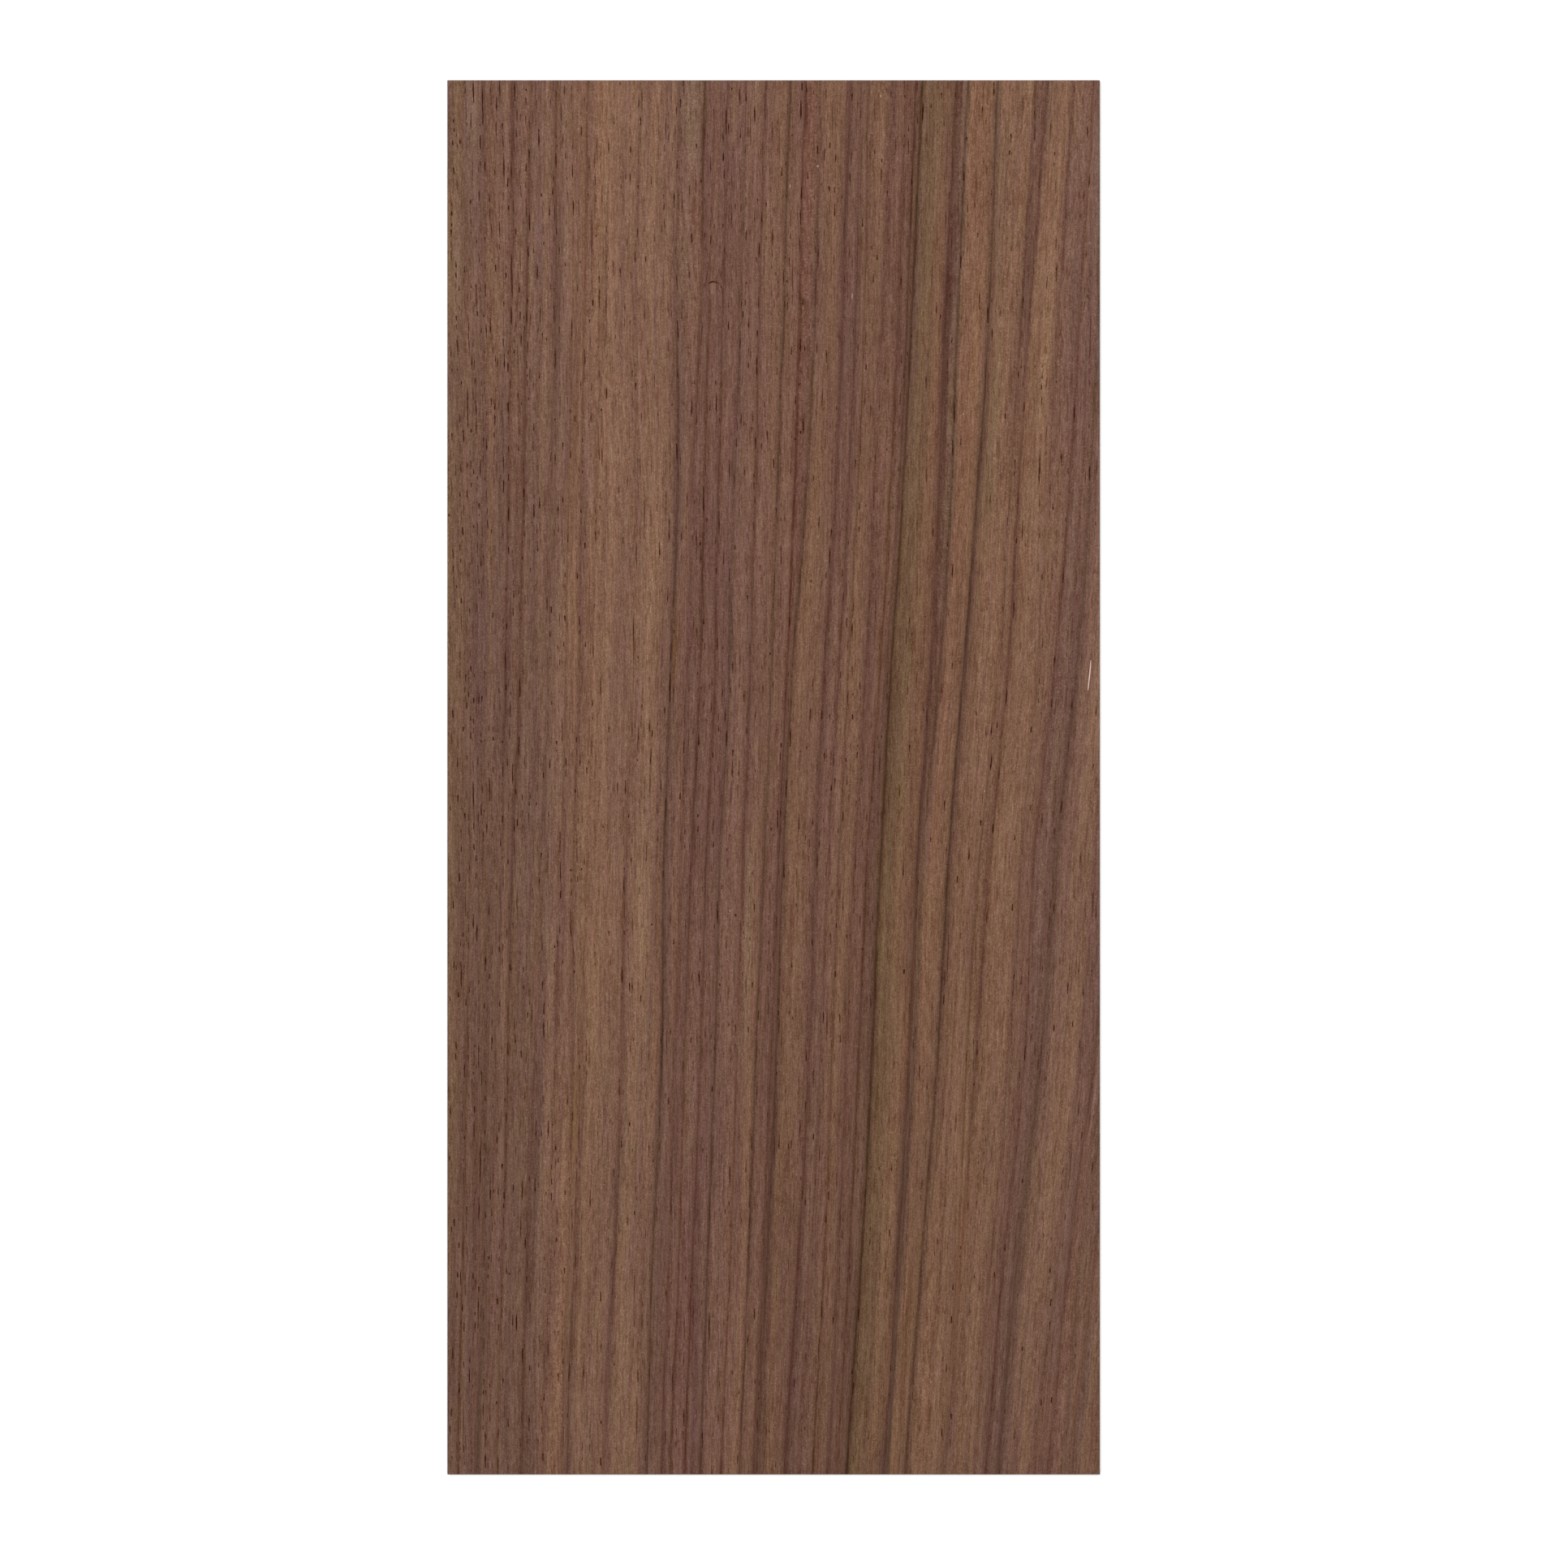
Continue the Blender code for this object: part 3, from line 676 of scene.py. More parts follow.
bpy.ops.object.select_all(action="DESELECT")
bpy.context.view_layer.objects.active = leaf
leaf.select_set(True)
opened = leaf.modifiers.new("opened vessels", "BOOLEAN")
opened.operation = "DIFFERENCE"
opened.solver = "MANIFOLD"
opened.object = cutter
bpy.ops.object.modifier_apply(modifier=opened.name)
bpy.data.meshes.remove(cutter.data)
sliver = bent_boat(SPLINTER_PATH, SPLINTER_WIDTH, SPLINTER_DEPTH, -0.055)
sliver[:, 2] = np.minimum(sliver[:, 2], THICKNESS - 0.001)
torn = loose_mesh("sliver", [(sliver, skin)])
joined = leaf.modifiers.new("torn sliver", "BOOLEAN")
joined.operation = "UNION"
joined.solver = "MANIFOLD"
joined.object = torn
bpy.ops.object.modifier_apply(modifier=joined.name)
bpy.data.meshes.remove(torn.data)

# Corners that the cuts left closer than a tenth of a micron are one corner.
CLOSEST_CORNERS = 1e-7
merged = leaf.modifiers.new("merged corners", "WELD")
merged.merge_threshold = CLOSEST_CORNERS
bpy.ops.object.modifier_apply(modifier=merged.name)

# Groove rims stay crisp, and the furrows and the pressed arris are smooth.
CRISP_ANGLE = math.radians(34)
bpy.ops.object.shade_smooth_by_angle(angle=CRISP_ANGLE)
mesh = leaf.data
places = corners_of(mesh)
loop_corner = np.empty(len(mesh.loops), dtype=np.int32)
mesh.loops.foreach_get("vertex_index", loop_corner)
loop_face = np.repeat(
    np.arange(len(mesh.polygons)), [len(face.vertices) for face in mesh.polygons]
)
normals = np.empty(len(mesh.polygons) * 3)
mesh.polygons.foreach_get("normal", normals)
normals = normals.reshape(-1, 3)
middles = np.empty(len(mesh.polygons) * 3)
mesh.polygons.foreach_get("center", middles)
middles = middles.reshape(-1, 3) / MM

# The walls and floors of the grooves are the steep faces inside the arris and the sunken ones. How deep
# each one reaches is noted at its corners, so that the material paints the grooves darker with depth,
# partly the dark brown of the vessel walls and partly painted shade in the hollow, and leaves the flat wood
# beside them as it is. The sliver of the splinter is noted as -1.
STEEP = 0.9985
RIM_SHARE = 0.58
upper = middles[:, 2] > THICKNESS / 2
sunken = np.where(upper, THICKNESS - FURROW - RIPPLE - middles[:, 2], middles[:, 2]) > 0.001
wall = (np.abs(normals[:, 2]) < STEEP) | sunken
wall &= (np.abs(middles[:, 0]) < inner) & (np.abs(middles[:, 1]) < HALF_LENGTH - ARRIS)
face_depth = np.clip((THICKNESS - 0.008 - places[:, 2]) / 0.08, 0, 1) ** 0.8
back_depth = np.clip(places[:, 2] / 0.05, 0, 1)
depth = np.where(upper[loop_face], face_depth[loop_corner], back_depth[loop_corner])
depth = np.where(wall[loop_face], depth, 0)
deepest = np.zeros(len(mesh.polygons))
np.maximum.at(deepest, loop_face, depth)
depth = np.where(wall[loop_face], np.maximum(depth, RIM_SHARE * deepest[loop_face]), 0)
sliver_x = np.interp(places[:, 1], *zip(*[(y, x) for x, y in SPLINTER_PATH[::-1]]))
off_sliver = np.abs(places[:, 0] - sliver_x) > SPLINTER_WIDTH / 2 + 0.01
off_sliver |= np.abs(places[:, 1] - (SPLINTER_HEAD + SPLINTER_FOOT)[1] / 2) > 3.5
on_sliver = middles[:, 2] > THICKNESS - 0.04
on_sliver[loop_face[off_sliver[loop_corner]]] = False
depth = np.where(on_sliver[loop_face], -1, depth)
grain = np.zeros((len(mesh.loops), 3), dtype=np.float32)
grain[:, 0] = ring_at(places[:, 0], places[:, 1])[loop_corner]
grain[:, 1] = places[loop_corner, 1]
grain[:, 2] = depth
layer = mesh.attributes.new("grain", "FLOAT_VECTOR", "CORNER")
layer.data.foreach_set("vector", grain.ravel())

# The leaf's own flat map: show face, back, and the four cut edges in strips beside them.
FACE_SHARE = 0.70
BACK_SHARE = 0.25
STRIP = 0.006
sheet_map = mesh.uv_layers.new(name="OFBake")
normals = normals[loop_face]
middles = middles[loop_face]
spot = places[loop_corner]
u = (spot[:, 0] + HALF_WIDTH) / (2 * HALF_WIDTH)
v = (spot[:, 1] + HALF_LENGTH) / (2 * HALF_LENGTH)
rise = spot[:, 2] / THICKNESS
on_side = (np.abs(middles[:, 0]) > HALF_WIDTH - 1e-3) & (np.abs(normals[:, 2]) < 0.1)
on_end = (np.abs(middles[:, 1]) > HALF_LENGTH - 1e-3) & (np.abs(normals[:, 2]) < 0.1)
down = ~on_side & ~on_end & (middles[:, 2] < THICKNESS / 2)
map_u = 0.002 + u * (FACE_SHARE - 0.004)
map_u = np.where(down, FACE_SHARE + 0.004 + (1 - u) * (BACK_SHARE - 0.008), map_u)
strip_start = FACE_SHARE + BACK_SHARE
left_side = on_side & (middles[:, 0] < 0)
right_side = on_side & (middles[:, 0] > 0)
foot_end = on_end & (middles[:, 1] < 0)
head_end = on_end & (middles[:, 1] > 0)
for order, strip in enumerate((left_side, right_side, foot_end, head_end)):
    start = strip_start + 0.004 + order * 2 * STRIP
    map_u = np.where(strip, start + rise * STRIP, map_u)
map_v = 0.001 + np.where(on_end, u, v) * 0.998
sheet_map.data.foreach_set("uv", np.stack([map_u, map_v], axis=1).astype(np.float32).ravel())


# The walnut's material, which reads the grain attribute: ring, height and depth of groove.
walnut = bpy.data.materials.new("walnut_heartwood")
walnut.use_nodes = True
wood = walnut.node_tree
shader = wood.nodes["Principled BSDF"]


def put(tree, kind, wires, **settings):
    """Adds a node, sets it and wires or fills its inputs."""
    made = tree.nodes.new(kind)
    for setting, value in settings.items():
        setattr(made, setting, value)
    for place, value in wires.items():
        if isinstance(value, bpy.types.NodeSocket):
            tree.links.new(value, made.inputs[place])
        else:
            made.inputs[place].default_value = value
    return made


def sum_up(tree, operation, first, second=0.0, third=0.0, clamp=False):
    made = put(tree, "ShaderNodeMath", {0: first, 1: second, 2: third}, operation=operation)
    made.use_clamp = clamp
    return made.outputs[0]


def ease(tree, value, start, end, low=0.0, high=1.0):
    """Runs smoothly from low to high while the value goes from start to end."""
    made = put(
        tree,
        "ShaderNodeMapRange",
        {"Value": value, "From Min": start, "From Max": end, "To Min": low, "To Max": high},
        interpolation_type="SMOOTHSTEP",
    )
    return made.outputs["Result"]


def streaks(tree, across, along, width, length, seed, detail=1.0, roughness=0.5):
    """Noise drawn out along the grain, from -1 to 1."""
    across = sum_up(tree, "MULTIPLY", across, 1 / width)
    along = sum_up(tree, "MULTIPLY", along, 1 / length)
    place = put(tree, "ShaderNodeCombineXYZ", {0: across, 1: along, 2: seed})
    noise = put(
        tree,
        "ShaderNodeTexNoise",
        {"Vector": place.outputs[0], "Scale": 1.0, "Detail": detail, "Roughness": roughness},
        noise_dimensions="3D",
    )
    return sum_up(tree, "MULTIPLY_ADD", noise.outputs["Fac"], 4.0, -2.0)


def lay_over(tree, share, under, over):
    """Lays one colour over another by a share."""
    made = put(tree, "ShaderNodeMix", {0: share, 6: under, 7: over}, data_type="RGBA")
    return made.outputs[2]


def vector_sum(tree, operation, first, second, third=(0, 0, 0)):
    made = put(tree, "ShaderNodeVectorMath", {0: first, 1: second, 2: third}, operation=operation)
    return made.outputs["Value" if operation == "DOT_PRODUCT" else "Vector"]


def scaled(tree, colour, amount):
    made = put(tree, "ShaderNodeVectorMath", {0: colour, "Scale": amount}, operation="SCALE")
    return made.outputs["Vector"]


# White light that the raw surface throws back off its top, which the written browns leave room for.
SURFACE_SHEEN = 0.002
BLACKEST = 0.002


def linear(levels):
    """A brown given in screen levels from 0 to 255, as the share of each light that the wood sends back."""
    light = []
    for level in levels:
        share = max(level, 0) / 255
        share = share / 12.92 if share < 0.04045 else ((share + 0.055) / 1.055) ** 2.4
        light.append(max(share - SURFACE_SHEEN, BLACKEST))
    return (*light, 1.0)


def shade(family, depth):
    """A brown off the shade card."""
    red_over, green_over = SHADES[family]
    grey = CARD_PALEST - CARD_STEP * depth
    return linear(
        (
            grey + (2 * red_over + green_over) / 3,
            grey + (green_over - red_over) / 3,
            grey - (red_over + 2 * green_over) / 3,
        )
    )


def group_of(name, inputs, output, places=()):
    """An empty node group with number sockets, and vector sockets for places."""
    tree = bpy.data.node_groups.new(name, "ShaderNodeTree")
    for socket in inputs:
        tree.interface.new_socket(name=socket, in_out="INPUT", socket_type="NodeSocketFloat")
    for socket in places:
        tree.interface.new_socket(name=socket, in_out="INPUT", socket_type="NodeSocketVector")
    tree.interface.new_socket(name=output, in_out="OUTPUT", socket_type="NodeSocketFloat")
    return tree, tree.nodes.new("NodeGroupInput").outputs, tree.nodes.new("NodeGroupOutput").inputs


def use_group(tree, group, values):
    return put(tree, "ShaderNodeGroup", values, node_tree=group).outputs[0]


# A growth line: darkest at its middle, soft to each side, with its own darkness up the leaf.
line_group, given, result = group_of(
    "growth line",
    ("So far", "Ring", "Line at", "Over left", "Over right", "Foot"),
    "Dark",
    places=("Shares", "Steps"),
)
off = sum_up(line_group, "SUBTRACT", given["Ring"], given["Line at"])
left_off = sum_up(line_group, "MULTIPLY", off, given["Over left"])
right_off = sum_up(line_group, "MULTIPLY", off, given["Over right"])
spread = sum_up(line_group, "MAXIMUM", right_off, left_off)
halo = ease(line_group, spread, start=0.0, end=1.3, low=0.58, high=0.0)
core = ease(line_group, spread, start=0.05, end=0.48, low=0.66, high=0.0)
body = sum_up(line_group, "ADD", halo, core)
dark = vector_sum(line_group, "DOT_PRODUCT", given["Shares"], given["Steps"])
dark = sum_up(line_group, "ADD", dark, given["Foot"])
line_group.links.new(sum_up(line_group, "MULTIPLY_ADD", body, dark, given["So far"]), result[0])

# A patch: an oval of other-coloured wood, drawn out along the grain and ragged at its rim.
patch_group, given, result = group_of(
    "patch", ("So far", "Strength", "Rim start", "Rim end"), "Share", places=("Place", "Over size", "Shift")
)
off = vector_sum(patch_group, "MULTIPLY_ADD", given["Place"], given["Over size"], given["Shift"])
reach = vector_sum(patch_group, "DOT_PRODUCT", off, off)
share = ease(patch_group, reach, given["Rim start"], given["Rim end"], given["Strength"], 0.0)
patch_group.links.new(sum_up(patch_group, "ADD", share, given["So far"]), result[0])
PATCH_RIM = (0.1, 1.2)


def add_patch(share, place, rim, middle, half_size, strength):
    """One more patch on top of the share that the patches so far have."""
    values = {
        "So far": share, "Strength": strength, "Rim start": rim[0], "Rim end": rim[1], "Place": place,
        "Over size": (1 / half_size[0], 1 / half_size[1], 0),
        "Shift": (-middle[0] / half_size[0], -middle[1] / half_size[1], 0),
    }
    return use_group(wood, patch_group, values)


attribute = put(wood, "ShaderNodeAttribute", {}, attribute_name="grain", attribute_type="GEOMETRY")
parts = put(wood, "ShaderNodeSeparateXYZ", {0: attribute.outputs["Vector"]})
true_ring, height, groove = parts.outputs[0], parts.outputs[1], parts.outputs[2]
ramble = streaks(wood, true_ring, height, width=5.0, length=26.0, seed=3.1)
waver = streaks(wood, true_ring, height, width=1.6, length=7.0, seed=8.7)
ring = sum_up(wood, "MULTIPLY_ADD", ramble, 0.10, true_ring)
ring = sum_up(wood, "MULTIPLY_ADD", waver, 0.07, ring)

# Noise of the fibres, from single fibres up to whole bands, and the speckle of the cut fibre ends.
# The finest of it places the painted glints.
spiral = sum_up(wood, "MULTIPLY_ADD", height, SPIRAL, ring)
fibre = streaks(wood, spiral, height, width=0.5, length=13.0, seed=1.3, detail=2.0, roughness=0.9)
thread = streaks(wood, spiral, height, width=0.42, length=3.0, seed=5.9, detail=1.0, roughness=0.9)
band = streaks(wood, ring, height, width=1.7, length=60.0, seed=11.2, detail=1.0, roughness=0.6)
broad = streaks(wood, ring, height, width=4.5, length=70.0, seed=17.8, detail=0.0, roughness=0.5)
fleck = streaks(wood, true_ring, height, width=0.30, length=0.42, seed=23.5, detail=1.0, roughness=0.9)
glint = streaks(wood, true_ring, height, width=0.15, length=0.22, seed=53.5, detail=0.0)
cloud = streaks(wood, true_ring, height, width=2.2, length=9.0, seed=29.1, detail=1.5, roughness=0.6)

# The true place on the leaf, and the same place as ragged as the threads of the wood, which the
# patches and the growth lines follow.
RAGGED_ACROSS = 0.05
RAGGED_ALONG = 1.2
RAGGED_RIM = 0.35
true_place = put(wood, "ShaderNodeCombineXYZ", {0: true_ring, 1: height}).outputs[0]
ragged_ring = sum_up(wood, "MULTIPLY_ADD", thread, RAGGED_ACROSS, ring)
ragged_height = sum_up(wood, "MULTIPLY_ADD", thread, RAGGED_ALONG, height)
ragged_place = put(wood, "ShaderNodeCombineXYZ", {0: ragged_ring, 1: ragged_height}).outputs[0]
ragged_rim = [sum_up(wood, "MULTIPLY_ADD", thread, -RAGGED_RIM, edge) for edge in PATCH_RIM]

# The wood between the growth lines, off the shade card, in three ramps side by side.
RAMP_RINGS = 14


def wood_stops():
    """Places across the leaf with their brown, and their darkening towards head and foot."""
    starts = np.concatenate([[FAN_EDGE + 1], RING])
    ends = np.concatenate([RING, [86.0]])
    for start, end, row in zip(starts, ends, GROWTH):
        near, near_depth, far, far_depth, to_head, to_foot = row[-6:]
        for share, family, depth in ((0.28, near, near_depth), (0.72, far, far_depth)):
            tone = shade(family, depth)
            head_gain = tuple(a / b for a, b in zip(shade(family, depth + to_head), tone))[1]
            foot_gain = tuple(a / b for a, b in zip(shade(family, depth + to_foot), tone))[1]
            yield start + (end - start) * share, tone, (head_gain / 2, foot_gain / 2, 0, 1)


stops = list(wood_stops())
pieces = [stops[i:i + 2 * RAMP_RINGS + 1] for i in range(0, len(stops), 2 * RAMP_RINGS)]
base = gains = None
for piece in pieces:
    start, end = piece[0][0], piece[-1][0]
    spot = put(wood, "ShaderNodeMapRange", {"Value": ring, "From Min": start, "From Max": end})
    ramps = []
    for kind in (1, 2):
        ramp = put(wood, "ShaderNodeValToRGB", {0: spot.outputs["Result"]})
        while len(ramp.color_ramp.elements) < len(piece):
            ramp.color_ramp.elements.new(0.5)
        for element, stop in zip(ramp.color_ramp.elements, piece):
            element.position = (stop[0] - start) / (end - start)
            element.color = stop[kind]
        ramps.append(ramp.outputs[0])
    if base is None:
        base, gains = ramps
    else:
        past = sum_up(wood, "GREATER_THAN", ring, start)
        base = lay_over(wood, past, base, ramps[0])
        gains = lay_over(wood, past, gains, ramps[1])
gain = put(wood, "ShaderNodeSeparateColor", {0: gains})
towards_head = sum_up(wood, "MULTIPLY_ADD", height, 1 / 115, -0.05, clamp=True)
towards_foot = sum_up(wood, "MULTIPLY_ADD", height, -1 / 115, -0.05, clamp=True)
head_gain = sum_up(wood, "MULTIPLY_ADD", gain.outputs[0], 2.0, -1.0)
foot_gain = sum_up(wood, "MULTIPLY_ADD", gain.outputs[1], 2.0, -1.0)
head_gain = sum_up(wood, "MULTIPLY", head_gain, towards_head)
foot_gain = sum_up(wood, "MULTIPLY", foot_gain, towards_foot)
level = sum_up(wood, "ADD", head_gain, foot_gain)
level = sum_up(wood, "ADD", level, 1.0)
colour = scaled(wood, base, level)

# Patches of other wood: brown, ring, height, half width, half length and strength.
PATCHES = (
    ("fawn", 0.5, -66.0, 136, 1.3, 20, 0.7),
    ("fawn", 1.5, -70.0, 82, 0.9, 14, 0.6),
    ("straw", 2.0, -68.5, 110, 1.6, 34, 0.5),
    ("dun", 2.5, -67.3, -142, 1.0, 14, 0.7),
    ("taupe", 2.5, -63.0, 22, 0.9, 24, 0.7),
    ("taupe", 3.5, -61.0, 22, 1.8, 30, 0.5),
    ("mauve", 4.8, -63.5, 128, 1.0, 26, 0.4),
    ("mauve", 5.5, -62.2, -120, 1.6, 42, 0.7),
    ("ash", 5.2, -60.0, 60, 1.0, 30, 0.4),
    ("taupe", 5.5, -58.0, 99, 2.0, 14, 0.6),
    ("taupe", 5.0, -59.0, -144, 0.8, 12, 0.7),
    ("fawn", 2.0, -53.0, -20, 1.0, 30, 0.7),
    ("tan", 0.0, -49.0, 140, 1.7, 18, 0.7),
    ("mauve", 3.5, -49.5, -54, 1.3, 15, 0.6),
    ("tan", 1.5, -43.9, -28, 0.9, 13, 0.7),
    ("mauve", 5.5, -41.0, -93, 0.9, 9, 0.6),
    ("rose", 1.5, -41.2, 62, 1.0, 18, 0.6),
    ("tan", 4.5, -39.3, 98, 1.1, 28, 0.8),
    ("fawn", 1.5, -39.8, -140, 1.0, 20, 0.8),
    ("ash", 5.5, -32.2, -88, 0.7, 6, 0.6),
    ("mauve", 4.0, -31.9, -118, 1.1, 24, 0.7),
    ("brass", 0.0, -28.2, -100, 1.6, 38, 0.85),
    ("rust", 4.0, -24.2, -45, 0.9, 34, 0.6),
    ("straw", 0.5, -21.0, 144, 1.6, 16, 0.7),
    ("rose", 1.2, -16.2, 105.0, 0.75, 1.3, 0.9),
    ("rust", 6.0, -14.7, 107.6, 1.1, 1.3, 0.5),
    ("mauve", 5.0, -31.2, -5, 1.3, 36, 0.5),
    ("taupe", 7.0, -51.0, -103, 0.9, 18, 0.7),
    ("tan", 4.5, -44.5, 75, 1.1, 50, 0.7),
    ("rose", 6.0, -11.3, 110, 0.9, 22, 0.6),
    ("fawn", 0.0, -66.6, 140, 1.1, 16, 0.7),
    ("fawn", 3.5, -66.8, -108, 1.0, 14, 0.6),
    ("ash", 1.5, 62.4, 95, 0.8, 14, 0.6),
    ("rust", 6.5, 47.5, -100, 0.9, 18, 0.6),
    ("brass", 5.0, 28.2, -26, 0.9, 18, 0.7),
    ("fawn", 7.0, 18.6, -43, 1.6, 16, 0.6),
    ("gold", 1.5, 41.2, 4, 1.2, 12, 0.7),
    ("fawn", 5.5, 64.2, -95, 1.1, 18, 0.7),
    ("mauve", 7.5, -19.2, -44, 0.9, 28, 0.6),
    ("rose", 0.5, 57.4, 140, 1.6, 14, 0.6),
    ("taupe", 6.0, 30.8, 138, 0.8, 14, 0.6),
    ("gold", 3.0, 48.2, -54, 1.2, 18, 0.6),
    ("tan", 3.5, -33.2, 100, 1.0, 30, 0.6),
    ("taupe", 6.5, -58.2, -70, 1.2, 14, 0.6),
    ("olive", 6.5, 34.0, -36, 0.9, 26, 0.6),
    ("rose", 6.0, -24.0, 84, 0.8, 28, 0.6),
    ("straw", 1.0, 28.6, 134, 1.0, 20, 0.6),
    ("taupe", 5.5, 58.8, 62, 0.8, 16, 0.6),
    ("taupe", 5.0, 19.2, 142, 1.2, 12, 0.6),
    ("rose", 2.0, 46.0, 143, 1.0, 10, 0.6),
    ("mauve", 2.5, 55.2, 124, 1.4, 26, 0.6),
    ("gold", 2.5, -46.0, -142, 1.2, 14, 0.7),
    ("gold", 5.0, 34.0, 18, 1.1, 34, 0.6),
    ("gold", 4.0, 71.4, -140, 1.8, 14, 0.6),
    ("gold", 3.5, 57.6, -4, 1.4, 16, 0.6),
    ("gold", 3.0, -45.6, -30, 1.4, 28, 0.7),
    ("gold", 3.5, 14.4, -66, 1.2, 24, 0.6),
    ("rose", 3.5, -3.0, 68, 1.3, 16, 0.6),
    ("taupe", 3.5, 39.8, 140, 1.3, 14, 0.6),
    ("brass", 0.0, -27.4, -20, 1.6, 44, 0.7),
    ("gold", 5.0, -63.4, -82, 1.0, 18, 0.6),
    ("gold", 2.5, -35.2, -34, 1.2, 32, 0.6),
    ("brass", 5.0, -41.5, -75, 1.2, 16, 0.8),
    ("tan", 1.0, -45.0, -27, 1.9, 18, 0.8),
    ("taupe", 5.5, -64.9, 90, 1.3, 16, 0.8),
    ("tan", 4.5, -49.2, 138, 1.2, 14, 0.8),
    ("fawn", 6.0, -50.2, -39, 1.2, 18, 0.7),
    ("dun", 4.0, -30.5, -85, 1.2, 20, 0.7),
    ("fawn", 3.0, -19.2, 140, 1.1, 14, 0.8),
    ("mauve", 1.5, -53.4, 115, 1.0, 14, 0.7),
    ("mauve", 6.0, -17.5, 90, 2.4, 20, 0.7),
    ("rust", 7.0, -22.3, 30, 1.0, 14, 0.7),
    ("tan", 4.5, -67.6, -38, 1.0, 14, 0.7),
    ("fawn", 7.0, -54.8, -50, 1.5, 30, 0.6),
    ("mauve", 4.0, -51.4, 105, 1.2, 26, 0.6),
    ("mauve", 2.5, 61.2, 121, 1.3, 14, 0.7),
    ("mauve", 7.0, -56.3, 62, 1.3, 34, 0.6),
    ("fawn", 3.0, 48.8, 146, 2.4, 14, 0.6),
    ("brass", 7.0, 37.0, -120, 1.4, 20, 0.7),
    ("brass", 5.0, 35.8, -146, 1.2, 10, 0.6),
    ("taupe", 5.0, -70.4, 140, 1.1, 18, 0.8),
    ("tan", 1.0, -12.6, 145, 1.0, 12, 0.7),
    ("mauve", 0.5, 74.8, -62, 0.9, 16, 0.7),
    ("mauve", 1.5, 78.4, -93, 0.7, 9, 0.6),
    ("olive", 3.5, 42.4, 74, 1.6, 30, 0.7),
    ("tan", 5.5, 42.0, -113, 1.1, 20, 0.7),
    ("olive", 7.0, 26.6, -64, 1.2, 20, 0.7),
    ("rust", 4.0, 31.2, -57, 1.0, 18, 0.6),
    ("gold", 4.5, 5.8, 64, 0.9, 20, 0.6),
    ("ash", 5.5, -68.6, -114, 0.8, 8, 0.6),
    ("ash", 0.0, 60.9, 128, 0.9, 22, 0.6),
    ("ash", 5.5, 80.2, -132, 0.9, 24, 0.7),
    ("rose", 3.4, -16.2, 106.6, 2.2, 0.3, 0.45),
    ("gold", 2.5, -15.7, 102.4, 0.4, 1.2, 0.5),
    ("fawn", 3.0, -15.8, -70, 1.6, 18, 0.6),
    ("ash", 6.4, -10.4, 30, 1.0, 14, 0.6),
    ("straw", 2.0, -4.3, -36, 1.0, 34, 0.6),
    ("rose", 2.0, 4.8, 108, 1.1, 50, 0.7),
    ("dun", 6.0, 22.3, -68, 0.9, 26, 0.6),
    ("dun", 4.5, 25.5, 105, 1.4, 60, 0.8),
    ("brass", 2.5, 29.8, -90, 1.8, 66, 0.7),
    ("rust", 3.6, 31.0, 40, 0.8, 110, 0.5),
    ("gold", 4.5, 31.5, -124, 0.9, 22, 0.7),
    ("mauve", 6.0, 32.1, 80, 1.0, 66, 0.7),
    ("rust", 2.2, 36.6, 95, 2.2, 75, 0.9),
    ("brass", 2.5, 36.5, -118, 3.0, 40, 0.6),
    ("tan", 4.0, 38.6, 105, 1.0, 48, 0.7),
    ("dun", 6.0, 40.2, 68, 1.2, 22, 0.8),
    ("brass", 2.5, 40.3, -134, 0.9, 20, 0.7),
    ("straw", 1.5, 41.6, 120, 1.3, 28, 0.7),
    ("brass", 2.0, 47.0, -70, 1.5, 44, 0.7),
    ("mauve", 4.2, 48.0, 118, 1.5, 44, 0.7),
    ("mauve", 5.4, 48.4, -142, 1.5, 14, 0.7),
    ("mauve", 3.4, 56.8, 112, 2.2, 48, 0.7),
    ("mauve", 2.0, 61.4, 24, 1.3, 15, 0.8),
    ("brass", 2.0, 65.2, -121, 1.6, 26, 0.6),
    ("fawn", 3.0, 70.8, -112, 1.8, 46, 0.6),
    ("mauve", 4.6, 71.4, -42, 1.4, 22, 0.6),
)
for family in sorted({patch[0] for patch in PATCHES}):
    for depth in sorted({patch[1] for patch in PATCHES if patch[0] == family}):
        share = 0.0
        for patch in PATCHES:
            if patch[:2] == (family, depth):
                share = add_patch(share, ragged_place, ragged_rim, patch[2:4], patch[4:6], patch[6])
        colour = lay_over(wood, share, colour, shade(family, depth))

# Pale chips of torn fibre, painted paler still as a highlight where they catch the light: x, y and half
# length of each.
CHIPS = (
    (-31.5, 119.6, 0.3), (-28.8, 141.0, 0.3), (23.0, 146.6, 0.3), (3.5, 127.2, 0.5),
    (16.9, 103.6, 0.8), (40.8, 78.2, 0.3), (45.4, -3.0, 0.3), (-9.4, -28.7, 0.3),
    (9.5, 131.5, 0.3), (-45.0, 113.5, 0.3), (68.0, 115.0, 0.3),
)
CHIP_PALE_AND_HIGHLIGHT = (176, 150, 134)
CHIP_HALF_WIDTH = 0.14
CHIP_STRENGTH = 0.75
share = 0.0
for x, y, half_length in CHIPS:
    half_size = (CHIP_HALF_WIDTH, half_length)
    share = add_patch(share, true_place, PATCH_RIM, (ring_of(x, y), y), half_size, CHIP_STRENGTH)
pale_chips_and_highlight = share

